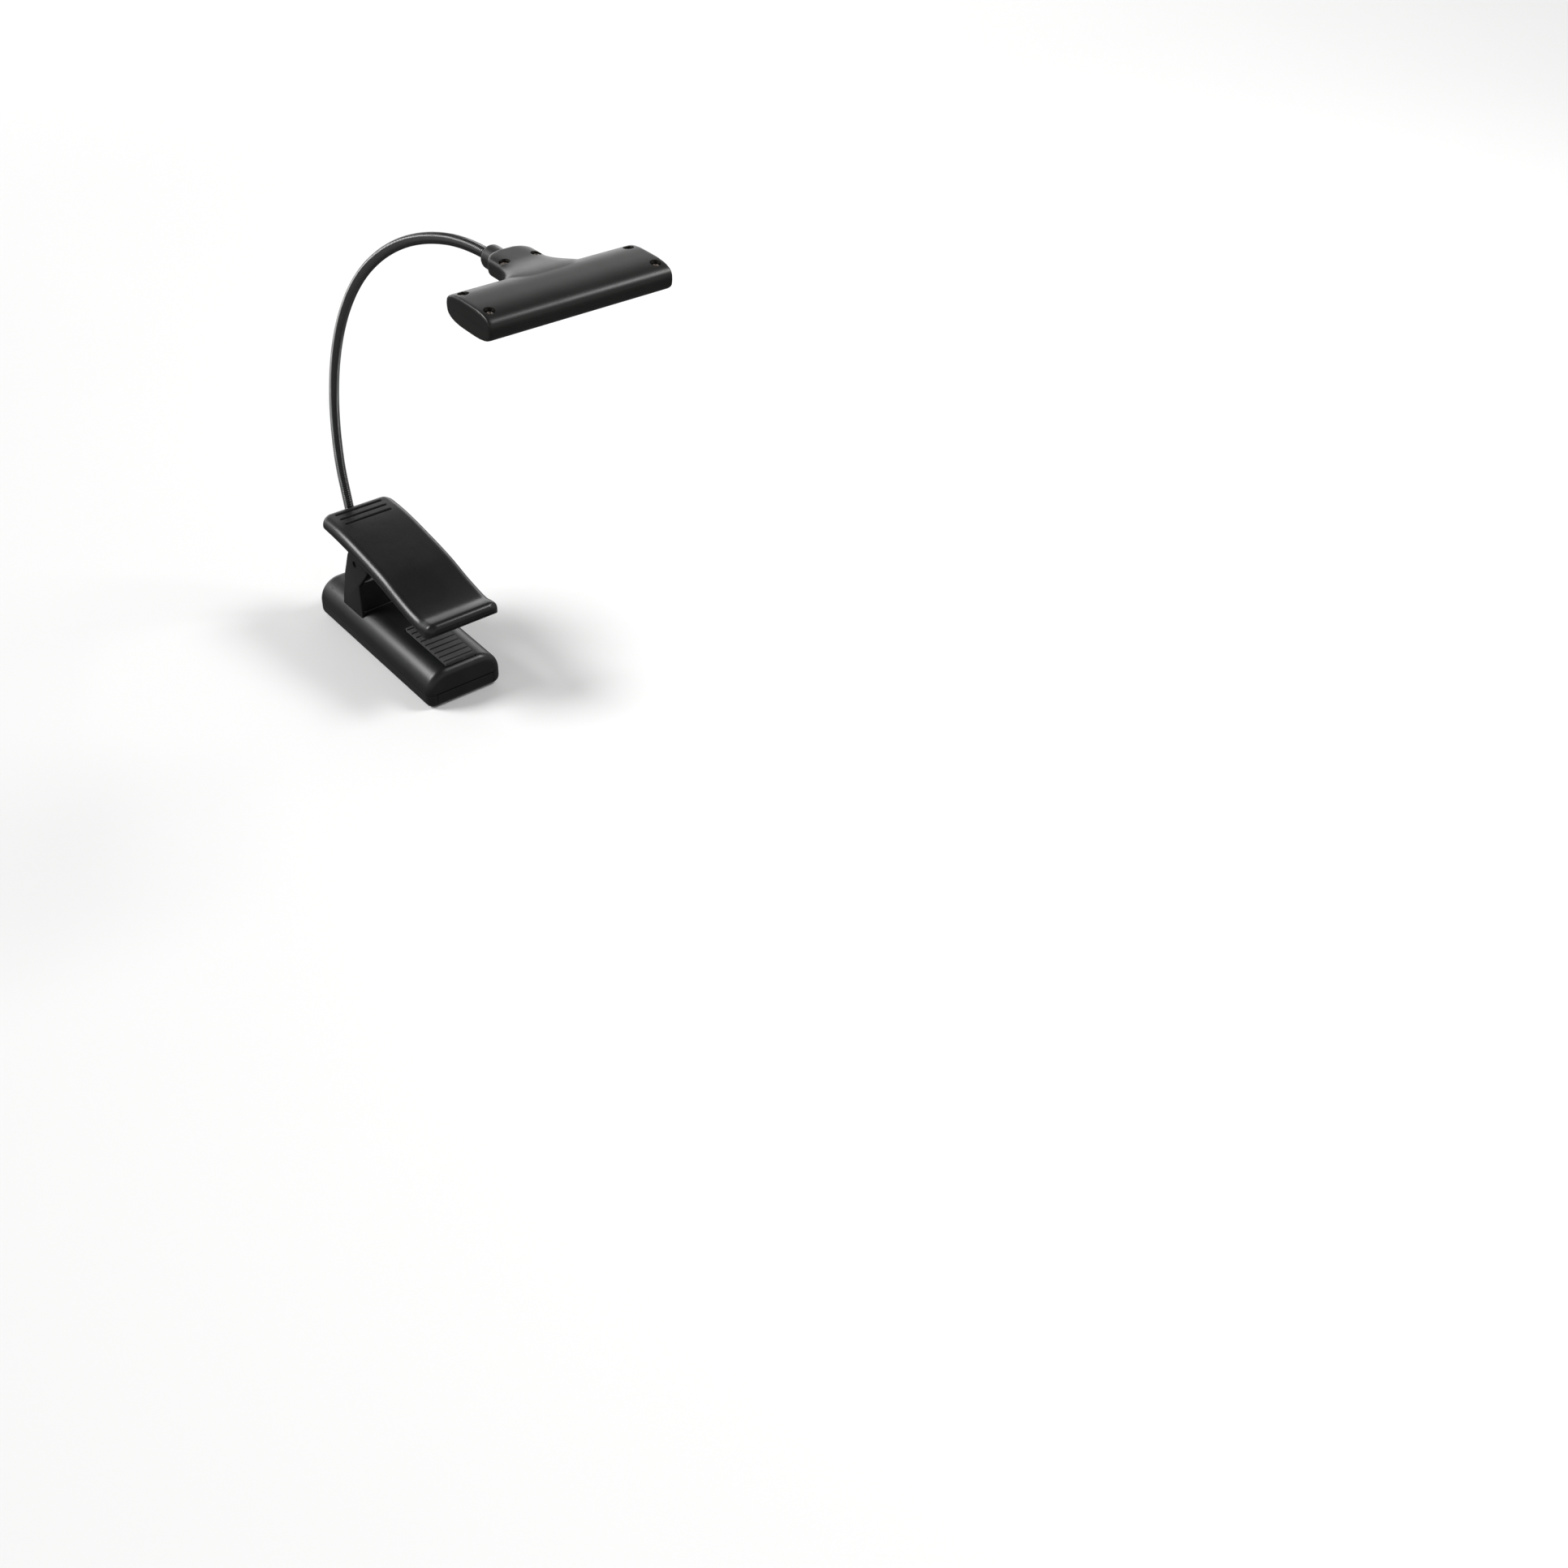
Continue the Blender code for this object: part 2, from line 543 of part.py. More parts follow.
def make_case():
    inside = case_block("case_hollow", CASE_WALL)
    lower_tool = below_case_split("case_below_split", GAP / 2)
    upper_tool = below_case_split("case_above_split", -GAP / 2)

    top = cut(case_block("case_top_shell", 0.0, "black_plastic"), inside, lower_tool)
    for side, sign in (("left", -1), ("right", 1)):
        ends = sorted((sign * (EAR_OUTER_X - EAR_THICKNESS), sign * EAR_OUTER_X))
        join(top, cut(plate(f"case_ear_{side}", ear_outline(), ACROSS_X, *ends), inside))
    middle = EAR_OUTER_X - EAR_THICKNESS / 2
    join(top, box("case_throat_wall", (-middle, THROAT_Y, CASE_HEIGHT - CASE_WALL / 2),
                  (middle, THROAT_Y + THROAT_WALL_THICKNESS, CASE_HEIGHT + THROAT_WALL_RISE)))
    join(top, box("case_partition",
                  (-CASE_WIDTH / 2 + 2 * CASE_WALL, PARTITION_Y, CASE_WALL + 2 * GAP),
                  (CASE_WIDTH / 2 - 2 * CASE_WALL, PARTITION_Y + PARTITION_WALL, CASE_INNER_TOP - 0.0025)),
         box("case_partition_root",
             (-CASE_WIDTH / 2 + CASE_TOP_RADIUS, PARTITION_Y, CASE_INNER_TOP - 0.003),
             (CASE_WIDTH / 2 - CASE_TOP_RADIUS, PARTITION_Y + PARTITION_WALL, CASE_INNER_TOP + 0.0005)))
    boss_top = neck_place(NECK_BOSS_HEIGHT)
    join(top, rod("case_neck_boss", NECK_BOSS_RADIUS, neck_place(-CASE_WALL * 0.6), boss_top, sides=24))

    bottom = keep(cut(case_block("case_bottom_shell", 0.0, "black_plastic"), inside), upper_tool)
    for row, y in enumerate(CASE_POST_Y, 1):
        for side, x in (("left", -CASE_POST_X), ("right", CASE_POST_X)):
            post = f"case_post_{side}_{row}"
            join(top, rod(post, POST_RADIUS, (x, y, CASE_SPLIT_Z + GAP / 2), (x, y, CASE_INNER_TOP - 0.0005)))
            join(bottom, rod(post + "_foot", SCREW_HEAD_RADIUS + 3 * GAP,
                             (x, y, CASE_WALL / 2), (x, y, CASE_SPLIT_Z - GAP / 2)))
            hole = SCREW_SHANK_RADIUS + RUNNING_GAP
            cut(top, rod(post + "_pilot", hole, (x, y, 0.0), (x, y, CASE_INNER_TOP - 0.003), sides=12))
            cut(bottom, rod(post + "_through", hole, (x, y, -0.01), (x, y, 0.01), sides=12),
                rod(post + "_sink", SCREW_HEAD_RADIUS + GAP, (x, y, -0.01), (x, y, case_screw_seat())))

    pin_hole = PIN_RADIUS + RUNNING_GAP
    cut(top, rod("case_pin_hole", pin_hole, (-CASE_WIDTH, PIVOT_Y, PIVOT_Z), (CASE_WIDTH, PIVOT_Y, PIVOT_Z)))
    ferrule = NECK_RADIUS + RUNNING_GAP + FERRULE_WALL
    cut(top, rod("case_neck_bore", ferrule + RUNNING_GAP, neck_place(-0.006), neck_place(0.006)))
    for shell in (top, bottom):
        cut(shell, rod(shell.name + "_button_hole", BUTTON_RADIUS + RUNNING_GAP,
                       (0, CASE_INNER_BACK - 0.001, BUTTON_Z), (0, CASE_BACK + 0.001, BUTTON_Z)))
    pad_low, pad_high = lower_pad_box()
    cut(top, box("case_pad_seat", pad_low - Vector((GAP, GAP, GAP)), pad_high + Vector((GAP, GAP, 0.001))))

    opening = Vector((DOOR_WIDTH / 2, DOOR_BACK_Y, CASE_SPLIT_Z))
    door_space = box("case_door_space", (-opening.x - GAP, CASE_FRONT - 0.001, -0.001),
                     (opening.x + GAP, opening.y + GAP, opening.z + 0.001))
    cut(bottom, door_space)
    make_door(inside, opening)


def case_screw_seat():
    """The height of the shelf that a case screw's head bears on."""
    return CASE_WALL / 2 + SCREW_HEAD_HEIGHT + GAP


def make_door(inside, opening):
    block = box("door_block", (-opening.x, CASE_FRONT - 0.001, -0.001),
                (opening.x, opening.y, opening.z - GAP))
    door = keep(cut(case_block("battery_door", 0.0, "black_plastic"), inside), block)
    join(door, box("door_tab", (-DOOR_TAB_WIDTH / 2, opening.y - 0.0015, CASE_WALL * 0.5),
                   (DOOR_TAB_WIDTH / 2, opening.y, CASE_WALL + GAP + DOOR_TAB_THICKNESS)),
         box("door_tab_hook", (-DOOR_TAB_WIDTH / 2, opening.y - 0.0008, CASE_WALL + GAP),
             (DOOR_TAB_WIDTH / 2, opening.y + DOOR_TAB_LENGTH, CASE_WALL + GAP + DOOR_TAB_THICKNESS)))
    for ridge in range(DOOR_RIDGES):
        y = opening.y - 0.004 - ridge * DOOR_RIDGE_PITCH
        cut(door, box(f"door_groove_{ridge + 1}", (-DOOR_RIDGE_LENGTH / 2, y - DOOR_RIDGE_WIDTH / 2, -0.001),
                      (DOOR_RIDGE_LENGTH / 2, y + DOOR_RIDGE_WIDTH / 2, 0.0004)))
    carry("battery_door_slide", (0.0, opening.y, 0.0), [door])


def lower_pad_box():
    front = CASE_FRONT + CASE_END_ROUNDING + 2 * GAP
    half = LOWER_PAD_WIDTH / 2
    bottom = CASE_HEIGHT - PAD_SEAT_DEPTH + GAP
    return (Vector((-half, front, bottom)),
            Vector((half, front + LOWER_PAD_LENGTH, bottom + LOWER_PAD_THICKNESS)))


def make_lower_pad():
    pad = box("lower_jaw_pad", *lower_pad_box(), "black_rubber")
    low, high = lower_pad_box()
    count = 6
    for i in range(count):
        y = low.y + (high.y - low.y) * (i + 0.5) / count
        cut(pad, box(f"lower_pad_groove_{i + 1}", (low.x - 0.001, y - 0.0004, high.z - 0.0004),
                     (high.x + 0.001, y + 0.0004, high.z + 0.001)))


# ---------------------------------------------------------------- cells and contacts


def coil(name, start, end, radius, end_radius, wire, turns, finish, steps=10):
    """A wire wound round the Y axis direction from start to end."""
    start, end = Vector(start), Vector(end)
    count = turns * steps
    path = []
    for i in range(count + 1):
        share = i / count
        angle = 2 * math.pi * i / steps
        reach = radius + (end_radius - radius) * share
        middle = start.lerp(end, share)
        path.append(middle + Vector((reach * math.cos(angle), 0.0, reach * math.sin(angle))))
    return tube(name, path, [wire] * len(path), finish, sides_level=1)


def make_cell(name, x, back_to_front):
    """One cell. Its positive nub points forward, or to the back."""
    nub_forward = back_to_front
    front = CONTACT_FRONT_Y + GAP
    if not nub_forward:
        front += CONTACT_SPRING_LENGTH + GAP
    nub = CELL_NUB_HEIGHT
    body_front = front + nub if nub_forward else front
    body_back = body_front + CELL_LENGTH
    cell = rod(name, CELL_RADIUS, (x, body_front, CELL_Z), (x, body_back, CELL_Z), "cell_wrap", sides=28)
    ends = (body_front - nub, body_front + nub) if nub_forward else (body_back - nub, body_back + nub)
    join(cell, rod(name + "_nub", CELL_NUB_RADIUS, (x, ends[0], CELL_Z), (x, ends[1], CELL_Z), sides=16))
    return body_front, body_back


def make_power():
    x = CELL_SPACING / 2
    half = CONTACT_SIDE / 2
    front, back = CONTACT_FRONT_Y, CONTACT_BACK_Y
    make_cell("cell_left", -x, False)
    _, right_back = make_cell("cell_right", x, True)
    box("contact_bridge_front", (-x - half, front - CONTACT_THICKNESS, CELL_Z - half),
        (x + half, front, CELL_Z + half), "bright_steel")
    for side, sign in (("left", -1), ("right", 1)):
        box(f"contact_plate_{side}", (sign * x - half, back, CELL_Z - half),
            (sign * x + half, back + CONTACT_THICKNESS, CELL_Z + half), "bright_steel")
    wire = CONTACT_WIRE
    coil("contact_spring_left", (-x, front + GAP / 2 + wire, CELL_Z),
         (-x, front + CONTACT_SPRING_LENGTH, CELL_Z), CONTACT_SPRING_RADIUS, 0.6 * CONTACT_SPRING_RADIUS,
         wire, CONTACT_TURNS, "spring_steel")
    coil("contact_spring_right", (x, back - GAP / 2 - wire, CELL_Z),
         (x, right_back + GAP + wire, CELL_Z), CONTACT_SPRING_RADIUS, 0.6 * CONTACT_SPRING_RADIUS,
         wire, CONTACT_TURNS, "spring_steel")


# ---------------------------------------------------------------- board, switch and button


def make_switch():
    board_front = PARTITION_Y + PARTITION_WALL + 2 * GAP
    board_back = CASE_INNER_BACK - 2 * GAP
    top = BOARD_Z + BOARD_THICKNESS
    box("circuit_board", (-BOARD_WIDTH / 2, board_front, BOARD_Z), (BOARD_WIDTH / 2, board_back, top),
        "green_board")
    rod("current_resistor", RESISTOR_RADIUS, (-RESISTOR_LENGTH / 2, board_front + 0.0022, top + GAP + RESISTOR_RADIUS),
        (RESISTOR_LENGTH / 2, board_front + 0.0022, top + GAP + RESISTOR_RADIUS), "white_plastic", sides=12)
    flange_back = CASE_INNER_BACK - GAP
    flange_front = flange_back - BUTTON_FLANGE
    switch_back = flange_front - BUTTON_TRAVEL - GAP
    box("switch_module", (-SWITCH_WIDTH / 2, switch_back - SWITCH_DEPTH, top + GAP),
        (SWITCH_WIDTH / 2, switch_back, top + GAP + SWITCH_HEIGHT), "black_gloss_plastic")
    button = rod("power_button", BUTTON_RADIUS, (0, flange_back - BUTTON_FLANGE / 2, BUTTON_Z),
                 (0, CASE_BACK + BUTTON_PROUD, BUTTON_Z), "black_gloss_plastic", sides=24)
    join(button, rod("button_flange", BUTTON_FLANGE_RADIUS, (0, flange_front, BUTTON_Z),
                     (0, flange_back, BUTTON_Z), sides=24))
    carry("power_button_press", (0.0, CASE_BACK, BUTTON_Z), [button])


def make_case_screws():
    seat = case_screw_seat() - GAP / 2
    facing_down = Matrix.Rotation(math.pi, 4, "X")
    shank_length = CASE_SPLIT_Z + CASE_SCREW_BITE - seat
    number = 0
    for y in CASE_POST_Y:
        for x in (-CASE_POST_X, CASE_POST_X):
            number += 1
            place = Matrix.Translation((x, y, seat - SCREW_HEAD_HEIGHT)) @ facing_down
            screw(f"case_screw_{number}", place, shank_length)


# ---------------------------------------------------------------- lever and clip hinge


def lever_half_width(y, inset):
    """Half the lever's width, drawn in round the corners at its two ends."""
    width = LEVER_WIDTH / 2
    for end, radius in ((LEVER_BACK, LEVER_BACK_CORNER), (-LEVER_TIP, LEVER_TIP_CORNER)):
        past = radius - (end - (y if end == LEVER_BACK else -y))
        if past > 0:
            width -= radius - math.sqrt(max(radius**2 - past**2, 0.0))
    return width - inset


def lever_ring(y, inset, floor=None):
    """The lever's section at y: flat below, with a round top edge each side."""
    half = lever_half_width(y, inset)
    top = smooth_value(LEVER_TOP, y) - inset
    past = LEVER_EDGE_RADIUS * 0.5 - (LEVER_BACK - y)
    if past > 0:
        top -= LEVER_EDGE_RADIUS * 0.5 - math.sqrt((LEVER_EDGE_RADIUS * 0.5) ** 2 - past**2)
    bottom = smooth_value(LEVER_SKIRT, y) if floor is None else floor
    radius = min(LEVER_EDGE_RADIUS - inset, 0.85 * (top - bottom), 0.9 * half)
    right = arc((half - radius, top - radius), radius, 0, 90, 6)
    outline = [(half, bottom)] + right + [(-x, z) for x, z in reversed(right)] + [(-half, bottom)]
    return [Vector((x, y, z)) for x, z in outline]


def lever_stations(back, tip, back_corner, tip_corner, middle_steps):
    """Places along the lever, close together round its two ends."""
    count = 5
    stations = [back - back_corner * (1 - math.cos(math.pi / 2 * i / count)) for i in range(count + 1)]
    start, end = back - back_corner, tip + tip_corner
    stations += [start + (end - start) * i / middle_steps for i in range(1, middle_steps + 1)]
    return stations + [tip + tip_corner * math.cos(math.pi / 2 * i / count) for i in range(1, count + 1)]


def lug_outline():
    """A lever lug in (Y, Z): round the pivot below, into the lever's crown above."""
    around = arc((PIVOT_Y, PIVOT_Z), LUG_RADIUS, 200, 350, 6)
    front, back = PIVOT_Y - 0.0052, PIVOT_Y + 0.0052
    crown = [(y, smooth_value(LEVER_TOP, y) - 0.6 * LEVER_WALL) for y in (back, PIVOT_Y, front)]
    return around + crown


def upper_pad_box():
    """The rubber pad under the lever's nose, half sunk in its seat."""
    front = LEVER_TIP + 0.0042
    top = smooth_value(LEVER_SKIRT, front) + 0.0006
    half = UPPER_PAD_WIDTH / 2
    return (Vector((-half, front, top - UPPER_PAD_THICKNESS)),
            Vector((half, front + UPPER_PAD_LENGTH, top)))


def make_lever():
    stations = lever_stations(LEVER_BACK - 1e-5, LEVER_TIP + 1e-5, LEVER_BACK_CORNER, LEVER_TIP_CORNER, 22)
    lever = loft("lever", [lever_ring(y, 0.0) for y in stations], "black_plastic")
    hollow_back, hollow_tip = LEVER_BACK - LEVER_WALL, LEVER_TIP + NOSE_LENGTH
    floor = min(z for _, z in LEVER_SKIRT) - 0.01
    places = [hollow_back + (hollow_tip - hollow_back) * i / 24 for i in range(25)]
    cut(lever, loft("lever_hollow", [lever_ring(y, LEVER_WALL, floor) for y in places]))

    ear_inner = EAR_OUTER_X - EAR_THICKNESS
    for side, sign in (("left", -1), ("right", 1)):
        ends = sorted((sign * (ear_inner - GAP), sign * (ear_inner - GAP - LUG_THICKNESS)))
        join(lever, plate(f"lever_lug_{side}", lug_outline(), ACROSS_X, *ends))
    cut(lever, rod("lever_pin_hole", PIN_RADIUS + RUNNING_GAP,
                   (-CASE_WIDTH, PIVOT_Y, PIVOT_Z), (CASE_WIDTH, PIVOT_Y, PIVOT_Z)))
    for groove in range(GRIP_GROOVES):
        y = LEVER_BACK - GRIP_FIRST - groove * GRIP_PITCH
        top = smooth_value(LEVER_TOP, y)
        cut(lever, box(f"lever_groove_{groove + 1}",
                       (-GRIP_LENGTH / 2, y - GRIP_WIDTH / 2, top - GRIP_DEPTH),
                       (GRIP_LENGTH / 2, y + GRIP_WIDTH / 2, top + 0.001)))
    low, high = upper_pad_box()
    cut(lever, box("lever_pad_seat", low - Vector((GAP, GAP, 0.01)), high + Vector((GAP, GAP, GAP))))
    pad = box("upper_jaw_pad", low, high, "black_rubber")
    carry("lever_hinge", (0.0, PIVOT_Y, PIVOT_Z), [lever, pad])


def make_pin_and_spring():
    rod("pivot_pin", PIN_RADIUS, (-PIN_LENGTH / 2, PIVOT_Y, PIVOT_Z), (PIN_LENGTH / 2, PIVOT_Y, PIVOT_Z),
        "bright_steel")
    steps = 12
    half = SPRING_TURNS * SPRING_PITCH / 2
    start, end = math.radians(SPRING_LEG_UP + 90), math.radians(SPRING_LEG_DOWN + 90)
    sweep = 2 * math.pi * SPRING_TURNS + (end - start)
    count = steps * SPRING_TURNS
    coil_path = []
    for i in range(count + 1):
        angle = start + sweep * i / count
        x = -half + 2 * half * i / count
        coil_path.append(Vector((x, PIVOT_Y + SPRING_RADIUS * math.cos(angle),
                                 PIVOT_Z + SPRING_RADIUS * math.sin(angle))))

    def leg(angle, x, sign):
        away = Vector((0.0, math.sin(angle), -math.cos(angle))) * sign
        root = coil_path[0] if x < 0 else coil_path[-1]
        return root + away * SPRING_LEG

    path = [leg(start, -half, 1), *coil_path, leg(end, half, 1)]
    tube("clip_spring", path, [SPRING_WIRE] * len(path), "spring_steel", sides_level=1)


# ---------------------------------------------------------------- gooseneck


def neck_segment(number, start, end, domed):
    """One bending length of the neck. A domed start turns inside the gap that the last one leaves."""
    path, radii = [], []
    if domed:
        for angle in (18, 40, 65):
            back = NECK_RADIUS * math.cos(math.radians(angle))
            path.append(neck_place(start) - back * (neck_frame(start).to_3x3() @ Vector((0, 0, 1))))
            radii.append(NECK_RADIUS * math.sin(math.radians(angle)))
    count = max(2, round((end - start) / NECK_STEP))
    for i in range(count + 1):
        path.append(neck_place(start + (end - start) * i / count))
        radii.append(NECK_RADIUS)
    return tube(f"neck_{number}", path, radii, "black_steel", sides_level=2)


def make_neck():
    cuts = NECK_JOINTS
    back_off = NECK_RADIUS + NECK_JOINT_GAP
    neck_segment(1, -NECK_BELOW, cuts[0] - back_off, False)
    names = ("neck_bend_low", "neck_side_low", "neck_bend_mid", "neck_side_high", "neck_bend_high")
    for i, (name, start) in enumerate(zip(names, cuts)):
        end = cuts[i + 1] - back_off if i + 1 < len(cuts) else NECK_LENGTH
        segment = neck_segment(i + 2, start, end, True)
        carry(name, neck_place(start), [segment] if i + 1 < len(cuts) else [segment, *head_parts()])

    inner = NECK_RADIUS + RUNNING_GAP
    outer = inner + FERRULE_WALL
    low, high = -FERRULE_BELOW, NECK_BOSS_HEIGHT + FERRULE_ABOVE
    turned("neck_ferrule", [(outer, high), (outer, low), (inner, low), (inner, high)], neck_frame(0.0),
           "bright_steel")
    bore = outer + RUNNING_GAP
    top = -CASE_WALL - 4 * GAP
    turned("neck_lock_nut", [(NECK_NUT_RADIUS, top), (NECK_NUT_RADIUS, top - NECK_NUT_HEIGHT),
                             (bore, top - NECK_NUT_HEIGHT), (bore, top)], neck_frame(0.0), "bright_steel", 12)
    low, high = NECK_BOSS_HEIGHT + GAP, NECK_BOSS_HEIGHT + GAP + GROMMET_HEIGHT
    rim = NECK_BOSS_RADIUS - GAP
    rounded = [(bore, high), *[(x, z) for x, z in reversed(arc((rim - 0.0008, high - 0.0008), 0.0008, 0, 90, 3))],
               (rim, low), (bore, low)]
    turned("neck_grommet", rounded, neck_frame(0.0), "black_rubber", 24)


# ---------------------------------------------------------------- light bar


def super_round(half_u, half_v, power, steps=28):
    """A rounded oblong outline: |u/half_u|^power + |v/half_v|^power = 1."""
    outline = []
    for i in range(steps):
        angle = 2 * math.pi * (i + 0.5) / steps
        c, s = math.cos(angle), math.sin(angle)
        outline.append((math.copysign(half_u * abs(c) ** (2 / power), c),
                        math.copysign(half_v * abs(s) ** (2 / power), s)))
    return outline


def bar_block(name, inset, finish=None):
    outline = super_round(BAR_DEPTH / 2 - inset, BAR_THICKNESS / 2 - inset, BAR_POWER)
    outline = [(BAR_Y + u, BAR_Z + v) for u, v in outline]
    half = BAR_LENGTH / 2 - inset
    block = plate(name, outline, ACROSS_X, -half, half, finish)
    if inset == 0.0:
        round_edges(block, BAR_END_ROUNDING, 2)
    return block


def tongue_half_width(y, inset):
    """Half the tongue's width: round at its back corners, flared where it meets the bar."""
    half = TONGUE_WIDTH / 2
    past = TONGUE_CORNER - (TONGUE_BACK_Y - y)
    if past > 0:
        half -= TONGUE_CORNER - math.sqrt(max(TONGUE_CORNER**2 - past**2, 0.0))
    root = BAR_Y + BAR_DEPTH / 2
    flare = (TONGUE_ROOT_WIDTH - TONGUE_WIDTH) / 2
    share = min(max((root + 2 * flare - y) / (2 * flare), 0.0), 1.2)
    return half + flare * share**3 - inset


def tongue_block(name, inset):
    back, front = TONGUE_BACK_Y - inset, BAR_Y + 0.002
    corner = TONGUE_CORNER
    stations = [back - 1e-5 - corner * (1 - math.cos(math.pi / 2 * i / 4)) for i in range(5)]
    stations += [stations[-1] + (front - stations[-1]) * i / 8 for i in range(1, 9)]
    rings = []
    for y in stations:
        half = tongue_half_width(min(y, back), inset)
        section = super_round(half, TONGUE_THICKNESS / 2 - inset, 4.0, 20)
        rings.append([Vector((u, y, TONGUE_Z + v)) for u, v in section])
    return loft(name, rings)


def head_boss(name, radius, start, end):
    return rod(name, radius, (0, start, HEAD_BOSS_Z), (0, end, HEAD_BOSS_Z), sides=24)


def head_block(name, finish):
    """The light bar, its tongue and the boss that holds the neck, as one solid."""
    boss_end = TONGUE_BACK_Y + HEAD_BOSS_LENGTH
    return join(bar_block(name, 0.0, finish), tongue_block(name + "_tongue", 0.0),
                head_boss(name + "_boss", HEAD_BOSS_RADIUS, TONGUE_BACK_Y - 0.006, boss_end))


def window_box(name, inset):
    half_x, half_y = WINDOW_LENGTH / 2 - inset, WINDOW_DEPTH / 2 - inset
    return box(name, (-half_x, BAR_Y - half_y, BAR_Z - BAR_THICKNESS),
               (half_x, BAR_Y + half_y, BAR_Z - BAR_THICKNESS / 2 + BAR_WALL + 0.001))


def head_screw_places():
    """(name, x, y, height of the surface that it is sunk in) for the six screws."""
    places = []
    for end, y in (("front", BAR_Y - BAR_SCREW_OFFSET_Y), ("back", BAR_Y + BAR_SCREW_OFFSET_Y)):
        for side, x in (("left", -BAR_SCREW_X), ("right", BAR_SCREW_X)):
            share = abs(BAR_SCREW_OFFSET_Y) / (BAR_DEPTH / 2)
            top = BAR_Z + BAR_THICKNESS / 2 * (1 - share**BAR_POWER) ** (1 / BAR_POWER)
            places.append((f"head_screw_{end}_{side}", x, y, top))
    for side, x in (("left", -TONGUE_SCREW_X), ("right", TONGUE_SCREW_X)):
        places.append((f"head_screw_tongue_{side}", x, TONGUE_SCREW_Y, TONGUE_Z + TONGUE_THICKNESS / 2))
    return places


